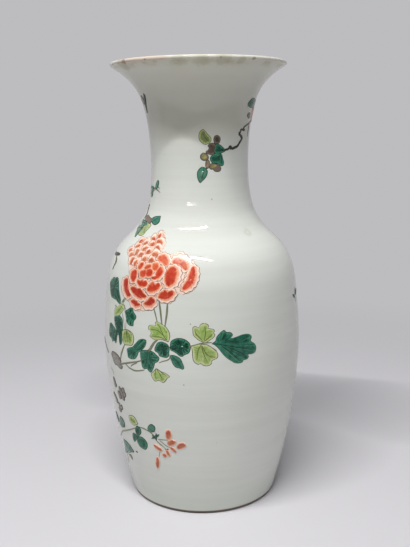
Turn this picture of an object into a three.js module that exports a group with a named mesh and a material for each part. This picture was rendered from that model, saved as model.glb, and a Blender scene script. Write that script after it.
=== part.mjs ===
// Chinese baluster vase: a trumpet mouth over a narrow neck, rounded shoulders and a body that
// tapers to a low foot ring. It stands on the foot ring. Millimetres, +Z up, origin at the centre
// of the face that it stands on.
//
// A vase of this size is thrown in sections that are luted together with slip while leather-hard.
// Each thrown section is one mesh here, and so is each band of slip that joins two of them.

import * as THREE from "three";

// Driving dimensions
const HEIGHT = 430;
const FACETS = 64; // sides of each turned piece

// Height of one row of facets on each section, smaller where the outline bends more
const FOOT_ROW = 7;
const LOWER_BELLY_ROW = 18;
const UPPER_BELLY_ROW = 12;
const NECK_ROW = 12;
const MOUTH_ROW = 5;
const THROAT_ROW = 6;

// The outline as [height, outer radius], from the foot to the lip
const OUTLINE = [
  [0, 74.6],
  [45, 85.7],
  [100, 95.0],
  [160, 99.7],
  [210, 96.6],
  [240, 91.1],
  [258, 80.6],
  [276, 63.0],
  [298, 51.8],
  [330, 48.0],
  [362, 49.0],
  [390, 53.6],
  [410, 62.6],
  [421, 73.6],
  [HEIGHT, 87.4],
];

// Wall thickness as [height, thickness], measured square to the outside
const WALL = [
  [0, 8.0],
  [30, 7.0],
  [80, 5.8],
  [160, 5.0],
  [270, 5.2],
  [330, 4.6],
  [HEIGHT, 4.0],
];

// Heights of the luted joints
const FOOT_JOINT = 22;
const BELLY_JOINT = 150;
const SHOULDER_JOINT = 268;
const NECK_JOINT = 384;
const SLIP = 1.0; // thickness of a band of slip
const SLIP_RIDGE = 1.2; // how far the slip stands out on the inside of the wall

// Foot ring and the floor inside it
const FOOT_CHAMFER = 1.2;
const FOOT_FACE_INNER = 67.4; // inner edge of the face that it stands on
const RECESS_RADIUS = 66;
const FLOOR_BOTTOM = 8;
const FLOOR_TOP = 15;
const FLOOR_RADIUS = 64.8;
const FLOOR_RISE = 1.2; // the floor is a little domed
const FLOOR_FLAT_FROM = 50; // radius past which the floor is flat
const FILLET = 1.8; // slip pressed into the corner between floor and wall

// Lip
const LIP_RADIUS = 2.0; // half of the rounded lip's thickness
const LIP_STEPS = 5;
const FLARE_START = 400; // above this the inside is set off square to the outside
const THROAT_END = 395; // below this it is set off level
const SLOPE_SPAN = 1; // height over which the outline's slope is measured

// A natural cubic spline through the knots [x, y], as a function of x
function naturalSpline(knots) {
  const last = knots.length - 1;
  const step = knots.slice(1).map(([x], i) => x - knots[i][0]);
  const rise = step.map((h, i) => (knots[i + 1][1] - knots[i][1]) / h);
  const upper = [0];
  const right = [0];
  for (let i = 1; i < last; i++) {
    const pivot = 2 * (step[i - 1] + step[i]) - step[i - 1] * upper[i - 1];
    upper[i] = step[i] / pivot;
    right[i] = (6 * (rise[i] - rise[i - 1]) - step[i - 1] * right[i - 1]) / pivot;
  }
  const bend = new Array(last + 1).fill(0);
  for (let i = last - 1; i > 0; i--) bend[i] = right[i] - upper[i] * bend[i + 1];
  return (x) => {
    let i = 0;
    while (i < last - 1 && x > knots[i + 1][0]) i++;
    const h = step[i];
    const a = knots[i + 1][0] - x;
    const b = x - knots[i][0];
    return (
      (bend[i] * a ** 3 + bend[i + 1] * b ** 3) / (6 * h) +
      (knots[i][1] / h - (bend[i] * h) / 6) * a +
      (knots[i + 1][1] / h - (bend[i + 1] * h) / 6) * b
    );
  };
}

// A value read straight between the knots [x, y]
function between(knots, x) {
  const i = Math.min(knots.length - 2, Math.max(0, knots.findIndex(([k]) => k > x) - 1));
  const [[x0, y0], [x1, y1]] = [knots[i], knots[i + 1]];
  return y0 + ((y1 - y0) * (x - x0)) / (x1 - x0);
}

const outer = naturalSpline(OUTLINE);
const slope = (z) => (outer(z + SLOPE_SPAN / 2) - outer(z - SLOPE_SPAN / 2)) / SLOPE_SPAN;
const wall = (z) => between(WALL, z);
const inner = (z) => outer(z) - wall(z) * Math.hypot(1, slope(z));

// The point of the inside that lies square to the outside at height z
function insideOf(z) {
  const length = Math.hypot(1, slope(z));
  return [outer(z) - wall(z) / length, z + (wall(z) * slope(z)) / length];
}

// Heights from low to high in equal steps of about the given size, both ends included
function levels(low, high, step) {
  const count = Math.max(1, Math.round((high - low) / step));
  return Array.from({ length: count + 1 }, (_, i) => low + ((high - low) * i) / count);
}

// A solid of revolution about Z from its section as [radius, height], listed with the solid on the
// left. A section that doesn't touch the axis closes on itself.
function turned(name, section, material) {
  const onAxis = section[0][0] === 0;
  const points = section.map(([r, z]) => new THREE.Vector2(r, z));
  if (!onAxis) points.push(points[0].clone());
  const geometry = new THREE.LatheGeometry(points, FACETS);
  geometry.rotateX(Math.PI / 2);
  const mesh = new THREE.Mesh(geometry, material);
  mesh.name = name;
  return mesh;
}

// A thrown section of the wall between two joints
function wallSection(name, lowJoint, highJoint, row, material) {
  const rows = levels(lowJoint + SLIP / 2, highJoint - SLIP / 2, row);
  const outside = rows.map((z) => [outer(z), z]);
  const inside = rows.map((z) => [inner(z), z]).reverse();
  return turned(name, [...outside, ...inside], material);
}

// A band of slip between two sections, with the ridge that it leaves on the inside
function slipBand(name, joint, material) {
  const low = joint - SLIP / 2;
  const high = joint + SLIP / 2;
  return turned(
    name,
    [
      [outer(low), low],
      [outer(high), high],
      [inner(high), high],
      [inner(joint) - SLIP_RIDGE, joint],
      [inner(low), low],
    ],
    material,
  );
}

// The foot ring with the lowest part of the wall
function footRing(material) {
  const top = FOOT_JOINT - SLIP / 2;
  const outside = levels(FOOT_CHAMFER, top, FOOT_ROW).map((z) => [outer(z), z]);
  return turned(
    "foot_ring",
    [
      [outer(0) - FOOT_CHAMFER, 0],
      ...outside,
      [inner(top), top],
      [RECESS_RADIUS + FILLET, FLOOR_TOP + FILLET],
      [RECESS_RADIUS, FLOOR_TOP],
      [RECESS_RADIUS, FLOOR_BOTTOM],
      [FOOT_FACE_INNER - FOOT_CHAMFER / 2, FOOT_CHAMFER],
      [FOOT_FACE_INNER, 0],
    ],
    material,
  );
}

// The floor, a slightly domed disc inside the foot ring
function floorDisc(material) {
  return turned(
    "base_floor",
    [
      [0, FLOOR_BOTTOM + FLOOR_RISE],
      [FLOOR_FLAT_FROM, FLOOR_BOTTOM],
      [FLOOR_RADIUS, FLOOR_BOTTOM],
      [FLOOR_RADIUS, FLOOR_TOP],
      [FLOOR_FLAT_FROM, FLOOR_TOP],
      [0, FLOOR_TOP + FLOOR_RISE],
    ],
    material,
  );
}

// The slip between the floor and the foot ring, pressed into the corner above
function floorSlip(material) {
  return turned(
    "floor_luting",
    [
      [FLOOR_RADIUS, FLOOR_BOTTOM],
      [RECESS_RADIUS, FLOOR_BOTTOM],
      [RECESS_RADIUS, FLOOR_TOP],
      [RECESS_RADIUS + FILLET, FLOOR_TOP + FILLET],
      [FLOOR_RADIUS - FILLET, FLOOR_TOP],
      [FLOOR_RADIUS, FLOOR_TOP],
    ],
    material,
  );
}

// The trumpet mouth, ending in a rounded lip
function mouth(material) {
  const low = NECK_JOINT + SLIP / 2;
  const rim = HEIGHT - LIP_RADIUS;
  const outside = levels(low, rim, MOUTH_ROW).map((z) => [outer(z), z]);
  const tilt = Math.atan(slope(rim)); // the lip's round lies square to the flare
  const centre = [outer(rim) - LIP_RADIUS * Math.cos(tilt), rim + LIP_RADIUS * Math.sin(tilt)];
  const lip = Array.from({ length: LIP_STEPS - 1 }, (_, i) => {
    const turn = -tilt + (Math.PI * (i + 1)) / LIP_STEPS;
    return [centre[0] + LIP_RADIUS * Math.cos(turn), centre[1] + LIP_RADIUS * Math.sin(turn)];
  });
  const flare = levels(FLARE_START, rim, MOUTH_ROW).map(insideOf).reverse();
  const throat = levels(low, THROAT_END, THROAT_ROW).map((z) => [inner(z), z]).reverse();
  return turned("mouth", [...outside, ...lip, ...flare, ...throat], material);
}

const porcelain = new THREE.MeshStandardMaterial({ color: 0xd5d9d1, roughness: 0.22, metalness: 0 });
const biscuit = new THREE.MeshStandardMaterial({ color: 0xb9ab95, roughness: 0.8, metalness: 0 });
const slip = new THREE.MeshStandardMaterial({ color: 0xcfd2c8, roughness: 0.4, metalness: 0 });

const vase = new THREE.Group();
vase.add(
  footRing(biscuit),
  floorDisc(porcelain),
  floorSlip(slip),
  slipBand("foot_luting", FOOT_JOINT, slip),
  wallSection("lower_belly", FOOT_JOINT, BELLY_JOINT, LOWER_BELLY_ROW, porcelain),
  slipBand("belly_luting", BELLY_JOINT, slip),
  wallSection("upper_belly", BELLY_JOINT, SHOULDER_JOINT, UPPER_BELLY_ROW, porcelain),
  slipBand("shoulder_luting", SHOULDER_JOINT, slip),
  wallSection("neck", SHOULDER_JOINT, NECK_JOINT, NECK_ROW, porcelain),
  slipBand("neck_luting", NECK_JOINT, slip),
  mouth(porcelain),
);

export default vase;
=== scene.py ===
"""Looks of a Chinese baluster vase: glazed porcelain painted over the glaze with flowers and leaves.

Sizes are millimetres up the vase's axis or across its wall, and angles are degrees round the axis:
0 is the front, and plus is towards the viewer's right. Meshes and node trees are in metres. Colours
are given as they look, from 0 to 255.
"""

import math

import bmesh
import bpy
import numpy as np
from mathutils import Matrix, Vector


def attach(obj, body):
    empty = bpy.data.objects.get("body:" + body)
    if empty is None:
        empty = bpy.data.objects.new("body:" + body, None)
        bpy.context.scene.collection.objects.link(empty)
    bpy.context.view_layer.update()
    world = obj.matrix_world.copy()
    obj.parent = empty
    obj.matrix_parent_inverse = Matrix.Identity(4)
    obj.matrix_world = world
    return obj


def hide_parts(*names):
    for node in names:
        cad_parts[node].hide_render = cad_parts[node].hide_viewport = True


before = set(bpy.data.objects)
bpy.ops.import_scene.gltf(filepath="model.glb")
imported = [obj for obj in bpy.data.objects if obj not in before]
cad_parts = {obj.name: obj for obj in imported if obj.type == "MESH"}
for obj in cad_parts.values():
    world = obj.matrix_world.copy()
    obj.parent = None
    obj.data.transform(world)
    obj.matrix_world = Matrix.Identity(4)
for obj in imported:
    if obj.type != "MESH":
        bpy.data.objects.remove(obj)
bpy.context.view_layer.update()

MM = 0.001
HEIGHT = 430.0

# The turned outline as (height, outer radius), from the foot to the lip
OUTLINE = (
    (0, 74.6), (45, 85.7), (100, 95.0), (160, 99.7), (210, 96.6),
    (240, 91.1), (258, 80.6), (276, 63.0), (298, 51.8), (330, 48.0),
    (362, 49.0), (390, 53.6), (410, 62.6), (421, 73.6), (HEIGHT, 87.4),
)
# Wall thickness as (height, thickness), measured square to the outside
WALL = ((0, 8.0), (30, 7.0), (80, 5.8), (160, 5.0), (270, 5.2), (330, 4.6), (HEIGHT, 4.0))

# Heights of the luted joints, the thickness of the slip in them, and its ridge on the inside
JOINTS = {"foot_luting": 22, "belly_luting": 150, "shoulder_luting": 268, "neck_luting": 384}
SLIP = 1.0
SLIP_RIDGE = 1.2
RIDGE_SPREAD = 5.0

# Foot ring, and the floor inside it
FOOT_CHAMFER = 1.2
FOOT_FACE_INNER = 67.4
RECESS_RADIUS = 66.0
FLOOR_BOTTOM = 8.0
FLOOR_TOP = 15.0
FLOOR_RADIUS = 64.8
FLOOR_RISE = 1.2
FLOOR_FLAT_FROM = 50.0
FILLET = 1.8

# Lip
LIP_RADIUS = 2.0
LIP_STEPS = 14
FLARE_START = 400.0
THROAT_END = 395.0

# Fineness: sides of each turned piece, and rows of the walls, foot, mouth, flare and throat
SEGMENTS = 256
WALL_STEP = 1.6
FOOT_STEP = 0.8
MOUTH_STEP = 0.9
FLARE_STEP = 1.5
THROAT_STEP = 2.0
SHARP_ANGLE = math.radians(28)


# The outline and the sections of the pieces

def natural_spline(knots):
    """The natural cubic spline through knots (x, y), as a function of x."""
    x, y = np.array(knots, float).T
    h = np.diff(x)
    rise = np.diff(y) / h
    system = np.diag(2 * (h[:-1] + h[1:])) + np.diag(h[1:-1], 1) + np.diag(h[1:-1], -1)
    bend = np.zeros(len(x))
    bend[1:-1] = np.linalg.solve(system, 6 * np.diff(rise))

    def value(at):
        at = np.asarray(at, float)
        i = np.clip(np.searchsorted(x, at, side="left") - 1, 0, len(h) - 1)
        a = x[i + 1] - at
        b = at - x[i]
        return (
            (bend[i] * a**3 + bend[i + 1] * b**3) / (6 * h[i])
            + (y[i] / h[i] - bend[i] * h[i] / 6) * a
            + (y[i + 1] / h[i] - bend[i + 1] * h[i] / 6) * b
        )

    return value


outer = natural_spline(OUTLINE)


def slope(z):
    """How fast the outer radius grows with height, over one millimetre."""
    return outer(z + 0.5) - outer(z - 0.5)


def wall(z):
    return np.interp(z, *np.array(WALL, float).T)


def inner(z):
    """The inside radius, with the rounded ridge that the slip of each joint leaves."""
    ridges = sum(SLIP_RIDGE * np.exp(-(((z - joint) / RIDGE_SPREAD) ** 2)) for joint in JOINTS.values())
    return outer(z) - wall(z) * np.hypot(1, slope(z)) - ridges


def inside_of(z):
    """The point (radius, height) of the inside that lies square to the outside at height z."""
    length = np.hypot(1, slope(z))
    return outer(z) - wall(z) / length, z + wall(z) * slope(z) / length


def levels(low, high, step):
    """Heights from low to high, both ends included, closer together next to the ends."""
    count = max(4, round((high - low) / step))
    even = np.linspace(0, 1, count + 1)
    eased = 0.5 - 0.5 * np.cos(math.pi * even)
    return low + (high - low) * (0.8 * even + 0.2 * eased)


def wall_section(low_joint, high_joint):
    """The closed section (radius, height) of a thrown wall between two joints."""
    low = JOINTS[low_joint] + SLIP / 2
    rows = levels(low, JOINTS[high_joint] - SLIP / 2, WALL_STEP)
    outside = [(outer(z), z) for z in rows]
    inside = [(inner(z), z) for z in rows[::-3]]
    inside[-1] = (inner(low), low)
    return outside + inside


def slip_section(joint):
    low = joint - SLIP / 2
    high = joint + SLIP / 2
    return [
        (outer(low), low), (outer(joint), joint), (outer(high), high),
        (inner(high), high), (inner(joint), joint), (inner(low), low),
    ]


def foot_section():
    top = JOINTS["foot_luting"] - SLIP / 2
    outside = [(outer(z), z) for z in levels(FOOT_CHAMFER, top, FOOT_STEP)]
    return [
        (outer(0) - FOOT_CHAMFER, 0), *outside, (inner(top), top),
        (RECESS_RADIUS + FILLET, FLOOR_TOP + FILLET), (RECESS_RADIUS, FLOOR_TOP),
        (RECESS_RADIUS, FLOOR_BOTTOM),
        (FOOT_FACE_INNER - FOOT_CHAMFER / 2, FOOT_CHAMFER), (FOOT_FACE_INNER, 0),
    ]


def floor_section():
    return [
        (0, FLOOR_BOTTOM + FLOOR_RISE), (FLOOR_FLAT_FROM, FLOOR_BOTTOM),
        (FLOOR_RADIUS, FLOOR_BOTTOM), (FLOOR_RADIUS, FLOOR_TOP),
        (FLOOR_FLAT_FROM, FLOOR_TOP), (0, FLOOR_TOP + FLOOR_RISE),
    ]


def floor_slip_section():
    return [
        (FLOOR_RADIUS, FLOOR_BOTTOM), (RECESS_RADIUS, FLOOR_BOTTOM), (RECESS_RADIUS, FLOOR_TOP),
        (RECESS_RADIUS + FILLET, FLOOR_TOP + FILLET), (FLOOR_RADIUS - FILLET, FLOOR_TOP),
        (FLOOR_RADIUS, FLOOR_TOP),
    ]


def mouth_section():
    low = JOINTS["neck_luting"] + SLIP / 2
    rim = HEIGHT - LIP_RADIUS
    outside = [(outer(z), z) for z in levels(low, rim, MOUTH_STEP)]
    tilt = math.atan(slope(rim))
    centre_r = outer(rim) - LIP_RADIUS * math.cos(tilt)
    centre_z = rim + LIP_RADIUS * math.sin(tilt)
    turns = [-tilt + math.pi * i / LIP_STEPS for i in range(1, LIP_STEPS)]
    lip = [(centre_r + LIP_RADIUS * math.cos(t), centre_z + LIP_RADIUS * math.sin(t)) for t in turns]
    flare = [inside_of(z) for z in levels(FLARE_START, rim, FLARE_STEP)[::-1]]
    throat = [(inner(z), z) for z in levels(low, THROAT_END, THROAT_STEP)[::-1]]
    return [*outside, *lip, *flare, *throat]


# Nodes

def node_group(kind, name, inputs, outputs):
    """An empty node group with the given sockets, and its input and output nodes."""
    tree = bpy.data.node_groups.new(name, kind)
    for label, socket_type, default in inputs:
        socket = tree.interface.new_socket(label, in_out="INPUT", socket_type=socket_type)
        if default is not None:
            socket.default_value = default
    for label, socket_type in outputs:
        tree.interface.new_socket(label, in_out="OUTPUT", socket_type=socket_type)
    return tree, tree.nodes.new("NodeGroupInput"), tree.nodes.new("NodeGroupOutput")


def geometry_tree(name, inputs):
    """An empty tree that takes a geometry and the given inputs, and gives a geometry."""
    return node_group(
        "GeometryNodeTree", name,
        (("Geometry", "NodeSocketGeometry", None), *inputs), (("Geometry", "NodeSocketGeometry"),),
    )


def add(tree, kind, inputs=(), **settings):
    """A node with its settings made and its inputs linked or set, by socket name or number."""
    node = tree.nodes.new(kind)
    for key, value in settings.items():
        setattr(node, key, value)
    for key, value in dict(inputs).items():
        if isinstance(value, bpy.types.NodeSocket):
            tree.links.new(value, node.inputs[key])
        else:
            node.inputs[key].default_value = value
    return node


def calc(tree, operation, *values, **settings):
    """The result of a sum on numbers."""
    return add(tree, "ShaderNodeMath", dict(enumerate(values)), operation=operation, **settings).outputs[0]


def vector_calc(tree, operation, *vectors, scale=None):
    """The result of a sum on vectors: a number for a length, a distance or a dot product."""
    inputs = dict(enumerate(vectors))
    if scale is not None:
        inputs["Scale"] = scale
    node = add(tree, "ShaderNodeVectorMath", inputs, operation=operation)
    return node.outputs["Value" if operation in ("LENGTH", "DISTANCE", "DOT_PRODUCT") else "Vector"]


def part_of(tree, vector, axis):
    """The X, Y or Z of a vector."""
    return add(tree, "ShaderNodeSeparateXYZ", {0: vector}).outputs[axis]


def finish_tree(tree, geometry, source, result):
    """Ends a tree: everything is made real and gets its material."""
    realized = add(tree, "GeometryNodeRealizeInstances", {"Geometry": geometry})
    finished = add(tree, "GeometryNodeSetMaterial", {
        "Geometry": realized.outputs[0], "Material": source.outputs["Finish"],
    })
    tree.links.new(finished.outputs[0], result.inputs[0])


# Turned pieces

def turning_tree():
    """Turns a section, drawn as a line of points in the XZ plane, about the Z axis."""
    tree, source, result = geometry_tree("turned on the wheel", (
        ("Segments", "NodeSocketInt", SEGMENTS), ("Points", "NodeSocketInt", 4),
        ("Sharp Angle", "NodeSocketFloat", SHARP_ANGLE), ("Finish", "NodeSocketMaterial", None),
    ))
    segments = source.outputs["Segments"]
    points = source.outputs["Points"]
    grid = add(tree, "GeometryNodeMeshGrid", {
        "Vertices X": calc(tree, "ADD", segments, 1.0), "Vertices Y": points,
    })
    index = add(tree, "GeometryNodeInputIndex").outputs[0]
    column = calc(tree, "FLOOR", calc(tree, "DIVIDE", index, points))
    point = add(tree, "GeometryNodeSampleIndex", {
        "Geometry": source.outputs["Geometry"], "Index": calc(tree, "MODULO", index, points),
    }, data_type="FLOAT_VECTOR")
    tree.links.new(add(tree, "GeometryNodeInputPosition").outputs[0], point.inputs["Value"])
    turn = calc(tree, "MULTIPLY", calc(tree, "DIVIDE", column, segments), 2 * math.pi)
    turned_point = add(tree, "ShaderNodeVectorRotate", {
        "Vector": point.outputs[0], "Angle": turn,
    }, rotation_type="Z_AXIS")
    shaped = add(tree, "GeometryNodeSetPosition", {
        "Geometry": grid.outputs["Mesh"], "Position": turned_point.outputs[0],
    })
    merged = add(tree, "GeometryNodeMergeByDistance", {"Geometry": shaped.outputs[0], "Distance": 2e-6})
    angle = add(tree, "GeometryNodeInputMeshEdgeAngle").outputs["Unsigned Angle"]
    sharp = add(tree, "FunctionNodeCompare", {
        0: angle, 1: source.outputs["Sharp Angle"],
    }, operation="GREATER_THAN")
    smooth = add(tree, "GeometryNodeSetShadeSmooth", {"Geometry": merged.outputs[0], "Shade Smooth": True})
    creased = add(tree, "GeometryNodeSetShadeSmooth", {
        "Geometry": smooth.outputs[0], "Selection": sharp.outputs[0], "Shade Smooth": False,
    }, domain="EDGE")
    finish_tree(tree, creased.outputs[0], source, result)
    return tree


def grown(name, mesh, tree, values):
    """The plain mesh object that a geometry node tree makes from a starting mesh."""
    start = bpy.data.objects.new(name + "_start", mesh)
    bpy.context.scene.collection.objects.link(start)
    modifier = start.modifiers.new("growth", "NODES")
    modifier.node_group = tree
    for socket in tree.interface.items_tree:
        if socket.in_out == "INPUT" and socket.name in values:
            modifier[socket.identifier] = values[socket.name]
    depsgraph = bpy.context.evaluated_depsgraph_get()
    final = bpy.data.meshes.new_from_object(start.evaluated_get(depsgraph))
    bpy.data.objects.remove(start)
    final.name = name
    piece = bpy.data.objects.new(name, final)
    bpy.context.scene.collection.objects.link(piece)
    return piece


def turned(name, section, tree, values):
    """The sheet that a section (radius, height) makes when it is turned."""
    points = [(float(r) * MM, 0.0, float(z) * MM) for r, z in section]
    mesh = bpy.data.meshes.new(name + "_section")
    mesh.from_pydata(points, [(i, i + 1) for i in range(len(points) - 1)], [])
    return grown(name, mesh, tree, {"Segments": SEGMENTS, "Points": len(points), **values})


def turned_solid(name, section, tree, finish):
    """A wall or disc turned from its section, which closes on itself where it misses the axis."""
    if section[0][0] > 0:
        section = [*section, section[0]]
    piece = turned(name, section, tree, {"Finish": finish})
    fix_normals(piece)
    return piece


def fix_normals(piece):
    """Turns the faces of a closed mesh outwards."""
    made = bmesh.new()
    made.from_mesh(piece.data)
    bmesh.ops.recalc_face_normals(made, faces=made.faces)
    if made.calc_volume(signed=True) < 0:
        bmesh.ops.reverse_faces(made, faces=made.faces)
    made.to_mesh(piece.data)
    made.free()


# Shared parts of the materials

def srgb(red, green, blue):
    """A colour from 0 to 255 for a socket that takes linear light."""
    def linear(c):
        c = c / 255
        return c / 12.92 if c <= 0.04045 else ((c + 0.055) / 1.055) ** 2.4
    return (linear(red), linear(green), linear(blue), 1.0)


def new_material(name, roughness):
    """A material, its node tree and its shader."""
    material = bpy.data.materials.new(name)
    material.use_nodes = True
    shader = material.node_tree.nodes["Principled BSDF"]
    shader.inputs["Roughness"].default_value = roughness
    return material, material.node_tree, shader


def plain_material(name, roughness, colour):
    material, _, shader = new_material(name, roughness)
    shader.inputs["Base Color"].default_value = srgb(*colour)
    return material


def span(tree, value, low, high, to_low=0.0, to_high=1.0, smooth=False):
    """A value stretched from one range to another, and kept inside it."""
    return add(tree, "ShaderNodeMapRange", {
        "Value": value, "From Min": low, "From Max": high, "To Min": to_low, "To Max": to_high,
    }, interpolation_type="SMOOTHSTEP" if smooth else "LINEAR").outputs[0]


def mixed(tree, share, first, second):
    """A colour between two others."""
    return add(tree, "ShaderNodeMix", {0: share, 6: first, 7: second}, data_type="RGBA").outputs[2]


def product(tree, first, second):
    return calc(tree, "MULTIPLY", first, second)


def noise(tree, vector, scale, detail, stretch=None):
    """A noise value from 0 to 1. With a stretch, the pattern is drawn out along the axes."""
    if stretch:
        vector = vector_calc(tree, "MULTIPLY", vector, stretch)
    node = add(tree, "ShaderNodeTexNoise", {"Vector": vector, "Scale": scale, "Detail": detail})
    return node.outputs["Fac"]


def speck_group():
    """A mask of scattered round specks of about the given radius."""
    group, source, result = node_group(
        "ShaderNodeTree", "specks",
        (("Vector", "NodeSocketVector", None), ("Spacing", "NodeSocketFloat", 20 * MM),
         ("Radius", "NodeSocketFloat", 0.5 * MM), ("Share", "NodeSocketFloat", 0.4)),
        (("Mask", "NodeSocketFloat"),),
    )
    spacing = source.outputs["Spacing"]
    cells = add(group, "ShaderNodeTexVoronoi", {
        "Vector": source.outputs["Vector"], "Scale": calc(group, "DIVIDE", 1.0, spacing),
    })
    reach = product(group, cells.outputs["Distance"], spacing)
    chance = add(group, "ShaderNodeSeparateColor", {0: cells.outputs["Color"]}).outputs
    size = product(group, source.outputs["Radius"], span(group, chance[1], 0.0, 1.0, 0.4, 1.4))
    soft = span(group, calc(group, "SUBTRACT", size, reach), -0.15 * MM, 0.2 * MM)
    kept = calc(group, "GREATER_THAN", source.outputs["Share"], chance[0])
    group.links.new(product(group, soft, kept), result.inputs["Mask"])
    return group


def ripple_group():
    """Heights of the fine rings that the thrower's fingers leave, and of a slow unevenness."""
    group, source, result = node_group(
        "ShaderNodeTree", "throwing rings",
        (("Vector", "NodeSocketVector", None),), (("Height", "NodeSocketFloat"),),
    )
    rings = noise(group, source.outputs["Vector"], 1.0, 2.0, (3.0, 3.0, 210.0))
    slow = noise(group, source.outputs["Vector"], 1.0, 1.0, (16.0, 16.0, 26.0))
    group.links.new(calc(group, "MULTIPLY_ADD", slow, 0.8, rings), result.inputs["Height"])
    return group


def brushwork_group():
    """Streaks of a loaded brush and pools of enamel, as two values about 0."""
    group, source, result = node_group(
        "ShaderNodeTree", "brushwork",
        (("Vector", "NodeSocketVector", None), ("Along", "NodeSocketFloat", 0.0),
         ("Seed", "NodeSocketFloat", 0.0)),
        (("Streak", "NodeSocketFloat"), ("Pool", "NodeSocketFloat")),
    )
    strokes = add(group, "ShaderNodeCombineXYZ", {
        "X": product(group, source.outputs["Along"], 42.0),
        "Y": product(group, source.outputs["Seed"], 37.0),
    }).outputs[0]
    streak = span(group, noise(group, strokes, 1.0, 2.0), 0.25, 0.75, -0.5, 0.5)
    pool = span(group, noise(group, source.outputs["Vector"], 230.0, 4.0), 0.3, 0.7, -0.5, 0.5)
    group.links.new(streak, result.inputs["Streak"])
    group.links.new(pool, result.inputs["Pool"])
    return group


# Glaze

GLAZE_ROUGHNESS = 0.035
RIPPLE_DEPTH = 0.3
BODY = ((214, 216, 208), (222, 225, 218))
STREAKS = (200, 202, 192)

# Slow tints over the body: the height where one starts, where it is full, its share, colour. The first is
# painted shade, darker and warmer under the flaring mouth where it shades the neck; the second greys the
# glaze towards the foot
NECK_SHADE_AND_TINTS = ((345, 375, 0.6, (210, 208, 190)), (45, 4, 0.5, (196, 203, 190)))

# The stain under the lip: heights over which it comes and goes, and its colour
STAIN_COMES = (422.5, 426.5)
STAIN_GOES = (429.5, 427.5)
LIP_STAIN = (168, 156, 120)

# The worn lip: heights over which it comes, and its colour
WORN_FROM = (427.2, 428.5)
WORN_LIP = (224, 218, 204)

# The part of it that is rubbed, measured across the front, and its colour
RUBBED_RIGHT = (-24, -30)
RUBBED_LEFT = (-74, -68)
RUBBED_LIP = (206, 174, 154)

# The bare foot: heights over which it comes, and its colour, the brown biscuit darkened as painted contact
# shadow where the foot meets the floor
BARE_AND_SHADED_BELOW = (3.4, 2.4)
BARE_FOOT_AND_CONTACT_SHADE = (98, 82, 66)

# Specks in the glaze: spacing, radius, the share of places that have one, colour
SPECKS = ((30, 0.6, 0.35, (92, 84, 66)), (11, 0.3, 0.3, (120, 112, 90)))

# Chips and stains at the lip, a smudge on the shoulder and iron spots: angle, height, radius, share, colour
GLAZE_SPOTS = (
    (-57, 426.2, 8.5, 0.55, (160, 154, 124)),
    (-52, 428.5, 3.4, 0.75, (140, 112, 92)),
    (-33, 429, 1.6, 0.7, (140, 112, 84)),
    (-12, 426.6, 7.5, 0.35, (168, 164, 132)),
    (2, 426.4, 8, 0.4, (172, 170, 134)),
    (13, 429, 1.8, 0.8, (122, 104, 76)),
    (15, 426.8, 8, 0.45, (166, 162, 128)),
    (27, 427, 5, 0.4, (160, 152, 122)),
    (35, 428.6, 2.2, 0.55, (120, 104, 80)),
    (42.5, 273.5, 5.2, 0.45, (186, 190, 174)),
    (42.5, 273.5, 2.2, 0.7, (214, 217, 208)),
    (-6, 198, 0.8, 0.8, (84, 88, 78)),
    (12.5, 305, 0.9, 0.7, (150, 150, 138)),
    (-10, 141, 0.8, 0.7, (140, 138, 126)),
)


def glaze_material():
    """White porcelain under a green-grey glaze, with its specks and stains, worn lip and bare foot.

    Painted shade darkens the glaze under the mouth, and the bare foot is darkened as painted contact
    shadow.
    """
    material, tree, shader = new_material("glazed porcelain", GLAZE_ROUGHNESS)
    place = add(tree, "ShaderNodeTexCoord").outputs["Object"]
    height = calc(tree, "DIVIDE", part_of(tree, place, "Z"), MM)
    body = mixed(tree, noise(tree, place, 9.0, 3.0), *(srgb(*colour) for colour in BODY))
    streaks = span(tree, noise(tree, place, 1.0, 4.0, (7.0, 7.0, 130.0)), 0.35, 0.75, 0.0, 0.35)
    body = mixed(tree, streaks, body, srgb(*STREAKS))
    # Painted shade under the flaring mouth, then the tint towards the foot
    for start, full, most, colour in NECK_SHADE_AND_TINTS:
        share = span(tree, height, start, full, 0.0, most, smooth=True)
        body = mixed(tree, share, body, srgb(*colour))
    body = with_specks(tree, place, body)
    body = with_worn_lip(tree, place, height, body)
    body = with_spots(tree, place, body)
    # The bare foot, darkened as painted contact shadow where it meets the floor
    body = mixed(tree, span(tree, height, *BARE_AND_SHADED_BELOW), body, srgb(*BARE_FOOT_AND_CONTACT_SHADE))
    tree.links.new(body, shader.inputs["Base Color"])
    ripple = add(tree, "ShaderNodeGroup", {"Vector": place}, node_tree=ripple_group())
    bump = add(tree, "ShaderNodeBump", {
        "Height": ripple.outputs[0], "Strength": 0.35, "Distance": RIPPLE_DEPTH * MM,
    })
    tree.links.new(bump.outputs[0], shader.inputs["Normal"])
    return material


def with_specks(tree, place, body):
    """Fine iron specks all over."""
    group = speck_group()
    for spacing, radius, share, colour in SPECKS:
        specks = add(tree, "ShaderNodeGroup", {
            "Vector": place, "Spacing": spacing * MM, "Radius": radius * MM, "Share": share,
        }, node_tree=group)
        body = mixed(tree, product(tree, specks.outputs[0], 0.75), body, srgb(*colour))
    return body


def with_worn_lip(tree, place, height, body):
    """Stains just under the lip, and the lip's own edge, worn all round and rubbed pink on the left."""
    blotches = span(tree, noise(tree, place, 90.0, 4.0), 0.5, 0.68, 0.12, 0.6)
    under_lip = product(tree, span(tree, height, *STAIN_COMES), span(tree, height, *STAIN_GOES))
    body = mixed(tree, product(tree, under_lip, blotches), body, srgb(*LIP_STAIN))
    lip = span(tree, height, *WORN_FROM)
    worn = product(tree, lip, span(tree, noise(tree, place, 60.0, 3.0), 0.35, 0.6, 0.3, 0.7))
    body = mixed(tree, worn, body, srgb(*WORN_LIP))
    side = calc(tree, "DIVIDE", part_of(tree, place, "X"), MM)
    left = product(tree, span(tree, side, *RUBBED_RIGHT), span(tree, side, *RUBBED_LEFT, 0.0, 0.45))
    return mixed(tree, product(tree, lip, left), body, srgb(*RUBBED_LIP))


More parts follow.
